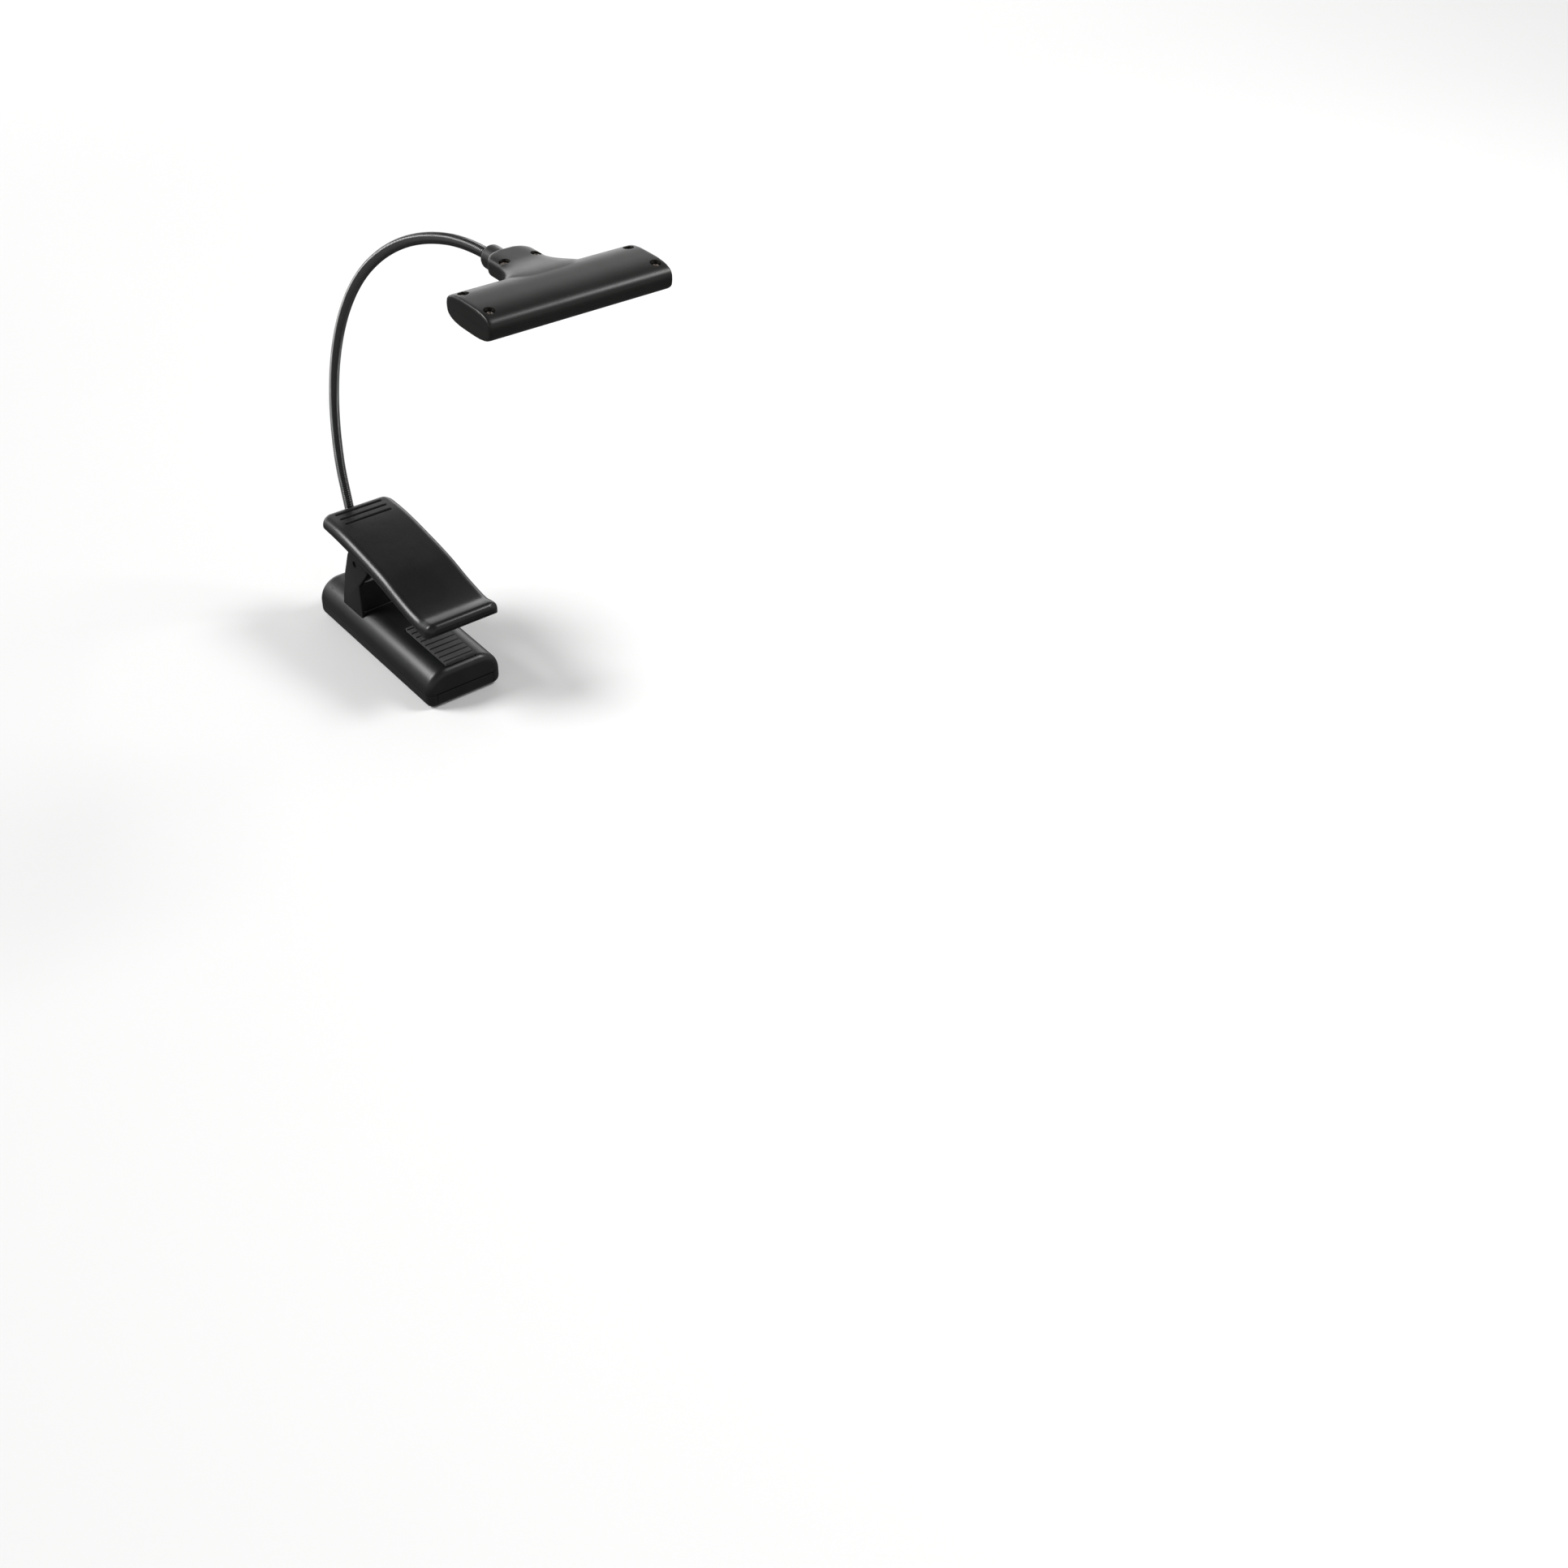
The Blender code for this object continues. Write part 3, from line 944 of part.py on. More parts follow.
def head_parts():
    """Makes the light bar's pieces and returns them."""
    hollow = join(bar_block("head_hollow", BAR_WALL), tongue_block("head_tongue_hollow", BAR_WALL))
    reach = BAR_LENGTH
    low = (-reach, BAR_Y - reach, BAR_Z - reach)
    high = (reach, BAR_Y + reach, BAR_Z + GAP / 2)
    below_top = box("head_below_top", low, high)
    below_split = box("head_below_split", low, (high[0], high[1], BAR_Z - GAP / 2))

    top = cut(head_block("head_top_shell", "black_plastic"), hollow, below_top)
    bottom = keep(cut(head_block("head_bottom_shell", "black_plastic"), hollow), below_split)
    cut(bottom, window_box("head_window", 0.0))

    pieces = [top, bottom]
    for name, x, y, crown in head_screw_places():
        seat = crown - HEAD_SCREW_SINK
        floor = 2 * BAR_Z - crown if "tongue" not in name else TONGUE_Z - TONGUE_THICKNESS / 2
        shelf = seat - SCREW_HEAD_HEIGHT - GAP / 2
        post = SCREW_HEAD_RADIUS + 2 * GAP
        join(top, rod(name + "_post", post, (x, y, BAR_Z + GAP / 2), (x, y, crown - 0.0004)))
        join(bottom, rod(name + "_foot", POST_RADIUS - GAP, (x, y, floor + 0.0004),
                         (x, y, BAR_Z - GAP / 2)))
        hole = SCREW_SHANK_RADIUS + RUNNING_GAP
        bottom_of_shank = seat - SCREW_HEAD_HEIGHT - HEAD_SCREW_SHANK - GAP
        cut(top, rod(name + "_hole", hole, (x, y, BAR_Z - 0.004), (x, y, crown), sides=12),
            rod(name + "_sink", SCREW_HEAD_RADIUS + GAP, (x, y, shelf), (x, y, crown + 0.003)))
        cut(bottom, rod(name + "_pilot", hole, (x, y, bottom_of_shank), (x, y, BAR_Z + 0.001), sides=12))
        pieces.append(screw(name, Matrix.Translation((x, y, seat)), HEAD_SCREW_SHANK))

    lens = keep(cut(head_block("lens", "clear_plastic"), hollow), window_box("lens_window", GAP))
    pieces.append(lens)

    inner_top = BAR_Z + BAR_THICKNESS / 2 - BAR_WALL
    board_top = inner_top - 0.0009
    board_low = board_top - LED_BOARD_THICKNESS
    half_x, half_y = WINDOW_LENGTH / 2 + 0.0002, WINDOW_DEPTH / 2
    pieces.append(box("led_board", (-half_x, BAR_Y - half_y, board_low), (half_x, BAR_Y + half_y, board_top),
                      "green_board"))
    tray_low = BAR_Z - BAR_THICKNESS / 2 + BAR_WALL + 0.0012
    reflector = box("reflector", (-half_x, BAR_Y - half_y, tray_low),
                    (half_x, BAR_Y + half_y, tray_low + REFLECTOR_THICKNESS), "white_plastic")
    pieces.append(reflector)
    for i in range(LED_COUNT):
        x = (i - (LED_COUNT - 1) / 2) * LED_PITCH
        rim_top = board_low - GAP / 2
        led = rod(f"led_{i + 1}", LED_RADIUS, (x, BAR_Y, rim_top - 0.0006 - LED_BARREL),
                  (x, BAR_Y, rim_top - 0.0003), "led_epoxy", sides=16)
        dome = rod(f"led_{i + 1}_dome", LED_RADIUS * 0.45, (x, BAR_Y, rim_top - 0.0014 - LED_BARREL),
                   (x, BAR_Y, rim_top - 0.0005 - LED_BARREL), sides=16, end_radius=LED_RADIUS)
        join(led, dome, rod(f"led_{i + 1}_rim", LED_RIM_RADIUS, (x, BAR_Y, rim_top - 0.0006),
                            (x, BAR_Y, rim_top), sides=16))
        cut(reflector, rod(f"reflector_hole_{i + 1}", LED_RADIUS + GAP, (x, BAR_Y, tray_low - 0.001),
                           (x, BAR_Y, tray_low + 0.002), sides=16, end_radius=LED_RADIUS + GAP))
        pieces.append(led)

    boss_end = TONGUE_BACK_Y + HEAD_BOSS_LENGTH
    inner = NECK_RADIUS + RUNNING_GAP
    outer = inner + FERRULE_WALL
    bore = outer + RUNNING_GAP
    for shell in (top, bottom):
        cut(shell, head_boss(shell.name + "_bore", bore, TONGUE_BACK_Y - 0.004, boss_end + 0.001))
    sleeve = Matrix.Translation((0, TONGUE_BACK_Y, HEAD_BOSS_Z)) @ Matrix.Rotation(-math.pi / 2, 4, "X")
    pieces.append(turned("head_ferrule", [(outer, HEAD_BOSS_LENGTH - GAP), (outer, -0.0025),
                                          (inner, -0.0025), (inner, HEAD_BOSS_LENGTH - GAP)],
                         sleeve, "bright_steel"))
    return pieces


# ---------------------------------------------------------------- joints


def carry(name, place, pieces):
    """Parents the pieces that a joint moves to an empty on the joint's axis."""
    holder = bpy.data.objects.new(name, None)
    holder.empty_display_size = 0.005
    holder.location = place
    PARTS.objects.link(holder)
    bpy.context.view_layer.update()
    for piece in pieces:
        piece.parent = holder
        piece.matrix_parent_inverse = holder.matrix_world.inverted()


clear_scene()
PARTS = new_collection("clip_on_reading_lamp")
CUTTERS = new_collection("cutters")
make_case()
make_lower_pad()
make_power()
make_switch()
make_case_screws()
make_lever()
make_pin_and_spring()
make_neck()
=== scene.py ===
"""Looks of a clip-on reading lamp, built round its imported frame.

Run it as a script: it loads the frame, models what shows, gives every piece its finish and sets up
the stage. It is laid out as an add-on, so each group of pieces is an operator in one sidebar panel.
Metres, +Z up, in the frame's own axes: X across the clip, -Y the way the jaw opens.
"""

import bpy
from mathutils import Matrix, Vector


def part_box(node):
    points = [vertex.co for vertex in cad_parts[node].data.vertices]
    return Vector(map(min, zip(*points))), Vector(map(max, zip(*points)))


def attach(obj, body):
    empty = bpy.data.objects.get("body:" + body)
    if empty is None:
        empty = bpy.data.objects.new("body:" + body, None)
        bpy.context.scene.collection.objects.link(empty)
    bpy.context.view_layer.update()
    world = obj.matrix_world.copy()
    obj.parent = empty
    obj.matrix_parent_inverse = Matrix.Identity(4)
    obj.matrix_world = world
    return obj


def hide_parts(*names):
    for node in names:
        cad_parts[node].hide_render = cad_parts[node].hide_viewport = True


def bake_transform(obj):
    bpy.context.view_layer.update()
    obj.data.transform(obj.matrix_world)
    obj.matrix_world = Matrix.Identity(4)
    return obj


bl_info = {
    "name": "Clip-on reading lamp",
    "version": (1, 0, 0),
    "blender": (4, 5, 0),
    "location": "3D View > Sidebar > Reading Lamp",
    "description": "Models and finishes a clip-on reading lamp round its frame",
    "category": "Object",
}

import math

import bmesh
import bpy
from mathutils import Matrix, Vector

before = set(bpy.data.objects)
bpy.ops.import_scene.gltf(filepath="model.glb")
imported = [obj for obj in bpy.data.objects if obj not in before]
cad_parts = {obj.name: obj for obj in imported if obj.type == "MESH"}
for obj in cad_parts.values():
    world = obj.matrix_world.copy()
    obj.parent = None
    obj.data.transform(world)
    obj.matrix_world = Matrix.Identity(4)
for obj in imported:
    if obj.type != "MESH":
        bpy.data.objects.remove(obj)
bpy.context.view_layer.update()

MM = 0.001
X, Y, Z = Vector((1, 0, 0)), Vector((0, 1, 0)), Vector((0, 0, 1))

# Places read from the frame
CASE_LOW, CASE_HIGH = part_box("case_bottom_shell")
CASE_FRONT, CASE_BACK = CASE_LOW.y, CASE_HIGH.y
CASE_HALF = CASE_HIGH.x
PIN_LOW, PIN_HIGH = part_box("pivot_pin")
PIVOT = (PIN_LOW + PIN_HIGH) / 2
PIN_RADIUS = (PIN_HIGH.z - PIN_LOW.z) / 2
LEVER_LOW, LEVER_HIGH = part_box("lever")
LOWER_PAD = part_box("lower_jaw_pad")
UPPER_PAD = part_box("upper_jaw_pad")
BUTTON_LOW, BUTTON_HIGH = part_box("power_button")
BAR_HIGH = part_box("head_top_shell")[1]
BOARD_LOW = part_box("led_board")[0]
TRAY_LOW, TRAY_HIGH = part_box("reflector")
HEAD_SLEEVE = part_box("head_ferrule")
LEDS = [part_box(f"led_{number}") for number in range(1, 7)]

# The neck's line, as arcs: (length in millimetres, tilt from the vertical at its end in degrees)
NECK_TILT = 11.5
NECK_ARCS = ((37.5, 11.5), (10.0, 2.0), (96.5, -50.0), (55.0, -75.0), (23.5, -90.0), (6.5, -90.0))
NECK_JOINT_PLACES = (0.052, 0.088, 0.124, 0.160, 0.196)
NECK_BEND_REACH = 0.012
NECK_BASE = Vector((0.0, CASE_BACK - 0.0092, 0.0145))
NECK_RADIUS = 0.00175

# Fits that several pieces share
EAR_FACE, EAR_WIDTH = PIN_HIGH.x + 0.0007, 0.0018
PIN_BORE = PIN_RADIUS + 0.00015
NECK_BORE = 0.00245
SCREW_WAY = 0.00085
HALF_GAP = 0.00015
PAD_ROOM = 0.0003
CELL_RADIUS = 0.00525


# ------------------------------------------------------------------ sizes and colours


class LampSizes(bpy.types.PropertyGroup):
    """Sizes that only the looks use."""

    def length(label, text, default):
        return bpy.props.FloatProperty(name=label, description=text, default=default, min=0.0,
                                       subtype="DISTANCE", unit="LENGTH", precision=5)

    case_top_radius: length("Case shoulder", "Radius of the case's top corners", 0.0085)
    case_bottom_radius: length("Case foot", "Radius of the case's bottom corners", 0.003)
    case_end_rounding: length("Case ends", "Rounding of the case's two ends", 0.0028)
    case_height: length("Case height", "Height of the battery case", 0.0145)
    wall: length("Wall", "Wall of the moulded shells", 0.0014)
    seam: length("Seam", "Width of the line between two shells", 0.00014)
    lever_edge: length("Lever edge", "Radius of the lever's long top edges", 0.0032)
    lever_wall: length("Lever wall", "Wall of the lever", 0.0016)
    coil_pitch: length("Neck pitch", "Distance between two turns of the neck's wire", 0.00080)
    coil_wire: length("Neck wire", "Radius of the neck's round wire", 0.00036)
    bar_grain: length("Remesh size", "Size of the head's smoothed facets", 0.00032)
    del length


class LampColours(bpy.types.PropertyGroup):
    """Colours of the lamp's finishes."""

    def colour(label, text, default):
        return bpy.props.FloatVectorProperty(name=label, description=text, default=default, size=3,
                                             min=0.0, max=1.0, subtype="COLOR")

    case: colour("Battery case", "Black plastic of the battery case", (0.0060, 0.0060, 0.0063))
    lever: colour("Lever", "Black plastic of the lever", (0.0060, 0.0060, 0.0062))
    head: colour("Light bar", "Black plastic of the light bar", (0.0068, 0.0064, 0.0060))
    rubber: colour("Rubber", "Black rubber of the pads and the grommet", (0.011, 0.011, 0.011))
    neck: colour("Neck", "Black lacquer of the gooseneck", (0.0060, 0.0060, 0.0063))
    nickel: colour("Nickel", "Plating of screws, pins and contacts", (0.42, 0.38, 0.35))
    floor: colour("Floor", "Pale floor", (0.80, 0.80, 0.795))
    del colour


# ------------------------------------------------------------------ shader maths


class Signal:
    """One value or colour in a material. Sums on it add Math nodes."""

    def __init__(self, finish, socket):
        self.finish = finish
        self.socket = socket

    def maths(self, operation, *values):
        return self.finish.node("ShaderNodeMath", {"operation": operation}, dict(enumerate(values)))

    def __add__(self, other):
        return self.maths("ADD", self, other)

    __radd__ = __add__

    def __sub__(self, other):
        return self.maths("SUBTRACT", self, other)

    def __rsub__(self, other):
        return self.maths("SUBTRACT", other, self)

    def __mul__(self, other):
        return self.maths("MULTIPLY", self, other)

    __rmul__ = __mul__

    def above(self, low, high):
        """0 below low, 1 above high and smooth between."""
        return self.finish.node("ShaderNodeMapRange", {"interpolation_type": "SMOOTHSTEP"},
                                {"Value": self, "From Min": low, "From Max": high})


class Finish:
    """A material on a Principled BSDF, with a way to add nodes to it."""

    def __init__(self, name, colour, roughness, metallic=0.0, **fixed):
        self.material = bpy.data.materials.new(name)
        self.material.use_nodes = True
        self.tree = self.material.node_tree
        self.shader = self.tree.nodes["Principled BSDF"]
        self.put("Base Color", (*colour, 1.0))
        self.put("Roughness", roughness)
        self.put("Metallic", metallic)
        for socket, value in fixed.items():
            self.put(socket.replace("_", " "), value)

    def put(self, socket, value):
        """Sets or links one of the shader's sockets."""
        self.join(self.shader.inputs[socket], value)

    def join(self, socket, value):
        if isinstance(value, Signal):
            self.tree.links.new(value.socket, socket)
        else:
            socket.default_value = value

    def node(self, kind, settings=None, sockets=None, output=0):
        made = self.tree.nodes.new(kind)
        for setting, value in (settings or {}).items():
            setattr(made, setting, value)
        for socket, value in (sockets or {}).items():
            self.join(made.inputs[socket], value)
        return Signal(self, made.outputs[output])

    def position(self):
        return self.node("ShaderNodeTexCoord", output="Object")

    def noise(self, size, detail=2.0, roughness=0.5, place=None):
        """Cloudy noise with features of a size in metres, from 0 to 1."""
        return self.node("ShaderNodeTexNoise", {}, {
            "Vector": place or self.position(), "Scale": 1.0 / size, "Detail": detail,
            "Roughness": roughness})

    def stretched(self, scale):
        return self.node("ShaderNodeMapping", {}, {"Vector": self.position(), "Scale": scale})

    def blend(self, share, low, high):
        """A colour between two colours."""
        ends = [value if isinstance(value, Signal) else (*value, 1.0) for value in (low, high)]
        return self.node("ShaderNodeMix", {"data_type": "RGBA", "clamp_factor": True},
                         {0: share, 6: ends[0], 7: ends[1]}, output=2)

    def relief(self, height, distance, strength=1.0, under=None):
        sockets = {"Height": height, "Distance": distance, "Strength": strength}
        if under is not None:
            sockets["Normal"] = under
        return self.node("ShaderNodeBump", {}, sockets)


def lighter(colour, share):
    return tuple(min(1.0, channel * share) for channel in colour)


def moulded_plastic(name, colour, roughness):
    """Satin moulded plastic: a fine spark-eroded grain, faint flow marks, a little dust."""
    finish = Finish(name, colour, roughness, IOR=1.5, Specular_IOR_Level=0.38)
    fine = finish.noise(0.00014, 2.0, 0.6)
    flow = finish.noise(0.014, 3.0, 0.55, finish.stretched((1.0, 0.45, 1.0)))
    hands = finish.noise(0.006, 4.0, 0.6)
    dust = finish.noise(0.0006, 2.0, 0.5).above(0.66, 0.85)
    tone = finish.blend(flow.above(0.3, 0.75), colour, lighter(colour, 1.5))
    finish.put("Base Color", finish.blend(dust * 0.12, tone, (0.16, 0.155, 0.15)))
    finish.put("Roughness", (hands - 0.5) * 0.10 + (fine - 0.5) * 0.16 + dust * 0.15 + roughness)
    soft = finish.relief(flow, 0.00003, 0.5)
    finish.put("Normal", finish.relief(fine, 0.000012, 0.9, soft))
    return finish.material


def rubber(name, colour):
    """Matt rubber with a pale bloom."""
    finish = Finish(name, colour, 0.75, Sheen_Weight=0.12, Sheen_Roughness=0.5)
    fine = finish.noise(0.0001, 3.0, 0.7)
    bloom = finish.noise(0.003, 3.0, 0.6)
    finish.put("Base Color", finish.blend(bloom.above(0.45, 0.8), colour, lighter(colour, 1.9)))
    finish.put("Roughness", bloom * 0.12 + 0.68)
    finish.put("Normal", finish.relief(fine, 0.00002, 0.8))
    return finish.material


def plated_metal(name, colour, roughness, scratch=(1.0, 1.0, 1.0), tarnish=0.35):
    """Plated metal: drawn scratches along one way and a little dulling."""
    finish = Finish(name, colour, roughness, 1.0)
    drawn = finish.noise(0.00012, 2.0, 0.6, finish.stretched(scratch))
    dull = finish.noise(0.0016, 4.0, 0.6)
    finish.put("Base Color", finish.blend(dull.above(0.45, 0.85) * tarnish, colour, lighter(colour, 0.45)))
    finish.put("Roughness", (drawn - 0.5) * 0.2 + dull * 0.15 + (roughness - 0.07))
    finish.put("Normal", finish.relief(drawn, 0.000006, 0.7))
    return finish.material


def neck_plating(name, colour):
    """Black-lacquered spring wire, rubbed a little brighter in places."""
    finish = Finish(name, colour, 0.2, IOR=1.9)
    drawn = finish.noise(0.00016, 2.0, 0.6)
    worn = finish.noise(0.0023, 4.0, 0.65)
    finish.put("Base Color", finish.blend(worn.above(0.5, 0.85), colour, lighter(colour, 1.7)))
    finish.put("Roughness", worn * 0.10 + (drawn - 0.5) * 0.06 + 0.10)
    finish.put("Normal", finish.relief(drawn, 0.000005, 0.6))
    return finish.material


def clear_moulding(name):
    """Clear plastic with a slight ripple and a little haze."""
    finish = Finish(name, (0.93, 0.95, 0.97), 0.05, IOR=1.49, Transmission_Weight=0.94)
    ripple = finish.noise(0.004, 2.0, 0.5)
    haze = finish.noise(0.0012, 4.0, 0.6)
    finish.put("Base Color", finish.blend(haze.above(0.5, 0.9), (0.93, 0.95, 0.97), (0.84, 0.88, 0.92)))
    finish.put("Roughness", haze * 0.06 + 0.02)
    finish.put("Normal", finish.relief(ripple, 0.00004, 0.4))
    return finish.material


def led_resin(name):
    """Clear resin over a yellow phosphor chip, which shows as a warm heart."""
    finish = Finish(name, (0.93, 0.93, 0.86), 0.10, IOR=1.52, Transmission_Weight=0.35)
    place = finish.node("ShaderNodeSeparateXYZ", {}, {0: finish.position()}, output="Z")
    depth = place.above(BOARD_LOW.z - 0.0024, BOARD_LOW.z - 0.0006)
    cloud = finish.noise(0.0006, 2.0, 0.5)
    finish.put("Base Color", finish.blend(depth, (0.95, 0.95, 0.90), (0.93, 0.78, 0.22)))
    finish.put("Roughness", cloud * 0.08 + 0.05)
    return finish.material


def circuit_board(name):
    """Green board with copper tracks under its mask and pale pads."""
    finish = Finish(name, (0.012, 0.10, 0.04), 0.32)
    tracks = finish.node("ShaderNodeTexBrick", {"offset": 0.5, "squash": 1.0}, {
        "Vector": finish.position(), "Scale": 260.0, "Color1": (1, 1, 1, 1), "Color2": (0.8, 0.8, 0.8, 1),
        "Mortar": (0, 0, 0, 1), "Mortar Size": 0.06, "Brick Width": 1.4, "Row Height": 0.55})
    weave = finish.noise(0.0004, 2.0, 0.5)
    finish.put("Base Color", finish.blend(tracks, (0.03, 0.19, 0.07), (0.010, 0.085, 0.035)))
    finish.put("Roughness", weave * 0.2 + 0.24)
    finish.put("Normal", finish.relief(tracks, 0.00003, 0.6))
    return finish.material


def white_moulding(name, colour, roughness=0.38):
    """Pale moulded plastic with soft flow marks."""
    finish = Finish(name, colour, roughness, IOR=1.5)
    flow = finish.noise(0.003, 3.0, 0.5)
    fine = finish.noise(0.0002, 2.0, 0.5)
    finish.put("Base Color", finish.blend(flow.above(0.3, 0.8), colour, lighter(colour, 0.88)))
    finish.put("Roughness", flow * 0.15 + (roughness - 0.08))
    finish.put("Normal", finish.relief(fine, 0.00001, 0.5))
    return finish.material


def cell_jacket(name):
    """A cell's printed film: a dark body with a copper-coloured band at one end and no lettering."""
    finish = Finish(name, (0.03, 0.05, 0.09), 0.3, 0.6)
    along = finish.node("ShaderNodeSeparateXYZ", {}, {0: finish.position()}, output="Y")
    band = along.above(CASE_FRONT + 0.034, CASE_FRONT + 0.0345)
    wear = finish.noise(0.001, 3.0, 0.6)
    body = finish.blend(wear.above(0.4, 0.9), (0.03, 0.05, 0.09), (0.05, 0.08, 0.13))
    finish.put("Base Color", finish.blend(band, body, (0.52, 0.25, 0.10)))
    finish.put("Roughness", wear * 0.2 + 0.22)
    return finish.material


def studio_floor(name, colour):
    """Matt paper with the faintest clouds."""
    finish = Finish(name, colour, 0.9)
    cloud = finish.noise(0.25, 3.0, 0.5)
    finish.put("Base Color", finish.blend(cloud.above(0.2, 0.9), lighter(colour, 0.985), colour))
    return finish.material


# ------------------------------------------------------------------ modelling helpers


def arc(centre, radius, start, end, steps):
    """Points of an arc in a plane, angles in degrees, both ends included."""
    angles = [math.radians(start + (end - start) * i / steps) for i in range(steps + 1)]
    return [(centre[0] + radius * math.cos(a), centre[1] + radius * math.sin(a)) for a in angles]


def smooth_value(points, at):
    """The height at a place on the smooth curve through (place, height) points."""
    points = sorted(points)
    at = min(max(at, points[0][0]), points[-1][0])
    i = max(k for k in range(len(points) - 1) if points[k][0] <= at)
    (x0, y0), (x1, y1) = points[i], points[i + 1]

    def slope(k):
        low, high = max(k - 1, 0), min(k + 1, len(points) - 1)
        return (points[high][1] - points[low][1]) / (points[high][0] - points[low][0])

    width = x1 - x0
    t = (at - x0) / width
    bend = (t**3 - 2 * t**2 + t) * slope(i) + (t**3 - t**2) * slope(i + 1)
    return y0 + (y1 - y0) * (3 * t**2 - 2 * t**3) + width * bend


def as_object(name, shape, merge=1e-7):
    """The bmesh as an object at the origin, closed and facing out."""
    bmesh.ops.remove_doubles(shape, verts=shape.verts, dist=merge)
    bmesh.ops.recalc_face_normals(shape, faces=shape.faces)
    mesh = bpy.data.meshes.new(name)
    shape.to_mesh(mesh)
    shape.free()
    made = bpy.data.objects.new(name, mesh)
    bpy.context.scene.collection.objects.link(made)
    return made


def block(name, low, high, rounding=0.0, segments=3):
    """A box between two corners, with rounded edges if asked."""
    shape = bmesh.new()
    bmesh.ops.create_cube(shape, size=1.0)
    low, high = Vector(low), Vector(high)
    bmesh.ops.scale(shape, vec=high - low, verts=shape.verts)
    bmesh.ops.translate(shape, vec=(low + high) / 2, verts=shape.verts)
    if rounding:
        round_off(shape, shape.edges[:], rounding, segments)
    return as_object(name, shape)


def round_off(shape, edges, width, segments):
    bmesh.ops.bevel(shape, geom=edges, offset=width, offset_type="OFFSET", affect="EDGES",
                    segments=segments, profile=0.5, material=-1, clamp_overlap=True)


def rod(name, radius, start, end, sides=48, rounding=0.0, end_radius=None):
    """A round bar or cone from start to end, with rounded rims if asked."""
    start, end = Vector(start), Vector(end)
    along = end - start
    shape = bmesh.new()
    bmesh.ops.create_cone(shape, cap_ends=True, segments=sides, depth=along.length,
                          radius1=radius, radius2=radius if end_radius is None else end_radius)
    if rounding:
        rims = [edge for edge in shape.edges if abs(edge.verts[0].co.z - edge.verts[1].co.z) < 1e-9]
        round_off(shape, rims, rounding, 3)
    turn = along.to_track_quat("Z", "Y").to_matrix().to_4x4()
    bmesh.ops.transform(shape, matrix=Matrix.Translation((start + end) / 2) @ turn, verts=shape.verts)
    return as_object(name, shape)


def turned(name, profile, place, steps=64):
    """A ring spun from a closed outline of (radius, height) about the place's Z axis."""
    shape = bmesh.new()
    corners = [shape.verts.new((radius, 0.0, height)) for radius, height in profile]
    edges = [shape.edges.new(pair) for pair in zip(corners, corners[1:] + corners[:1])]
    bmesh.ops.spin(shape, geom=corners + edges, cent=(0, 0, 0), axis=(0, 0, 1), angle=2 * math.pi,
                   steps=steps, use_merge=True)
    bmesh.ops.transform(shape, matrix=place, verts=shape.verts)
    return as_object(name, shape)


def slab(name, outline, across, low, high, rounding=0.0, segments=3):
    """An outline extruded along an axis from low to high. Its two coordinates follow the axis in
    the order X, Y, Z. Rounding softens the two rims."""
    shape = bmesh.new()
    corners = [shape.verts.new(placed(u, v, low, across)) for u, v in outline]
    face = shape.faces.new(corners)
    made = bmesh.ops.extrude_face_region(shape, geom=[face])
    moved = [item for item in made["geom"] if isinstance(item, bmesh.types.BMVert)]
    bmesh.ops.translate(shape, vec=across * (high - low), verts=moved)
    if rounding:
        rims = [edge for edge in shape.edges
                if abs((edge.verts[0].co - edge.verts[1].co).dot(across)) < 1e-9]
        round_off(shape, rims, rounding, segments)
    return as_object(name, shape)


def placed(u, v, along, across):
    """A point from its two outline coordinates and its place along the axis."""
    if across == X:
        return Vector((along, u, v))
    if across == Y:
        return Vector((u, along, v))
    return Vector((u, v, along))


def along_y(place, way=1):
    """A place whose +Z runs along +Y, or along -Y where way is -1."""
    return Matrix.Translation(place) @ Matrix.Rotation(-way * math.pi / 2, 4, "X")


def loft(name, rings):
    """A closed skin bridged over rings of points, capped at both ends."""
    shape = bmesh.new()
    last = None
    for index, ring in enumerate(rings):
        corners = [shape.verts.new(point) for point in ring]
        edges = [shape.edges.new(pair) for pair in zip(corners, corners[1:] + corners[:1])]
        if last:
            bmesh.ops.bridge_loops(shape, edges=last + edges)
        if index in (0, len(rings) - 1):
            shape.faces.new(corners)
        last = edges
    return as_object(name, shape)


def carve(target, operation, *tools):
    """Cuts, joins or keeps the target with the tools, and bakes the result into its mesh."""
    for tool in tools:
        step = target.modifiers.new(tool.name, "BOOLEAN")
        step.operation = {"cut": "DIFFERENCE", "join": "UNION", "keep": "INTERSECT"}[operation]
        step.solver = "MANIFOLD"
        step.object = tool
        bake(target)
        bpy.data.objects.remove(tool, do_unlink=True)
    return target


def bake(target):
    """Applies the modifiers to the object's mesh."""
    bpy.context.view_layer.update()
    graph = bpy.context.evaluated_depsgraph_get()
    mesh = bpy.data.meshes.new_from_object(target.evaluated_get(graph))
    target.modifiers.clear()
    old = target.data
    target.data = mesh
    bpy.data.meshes.remove(old)
    mesh.name = target.name
    return target


def fuse(target, size, passes):
    """Melts joined shapes into one skin with soft inner corners, as a mould leaves them."""
    melt = target.modifiers.new("Melt", "REMESH")
    melt.mode = "VOXEL"
    melt.voxel_size = size
    melt.adaptivity = 0.0
    bake(target)
    shape = bmesh.new()
    shape.from_mesh(target.data)
    for _ in range(passes):
        bmesh.ops.smooth_vert(shape, verts=shape.verts, factor=0.5, use_axis_x=True, use_axis_y=True,
                              use_axis_z=True)
    shape.to_mesh(target.data)
    shape.free()
    return target


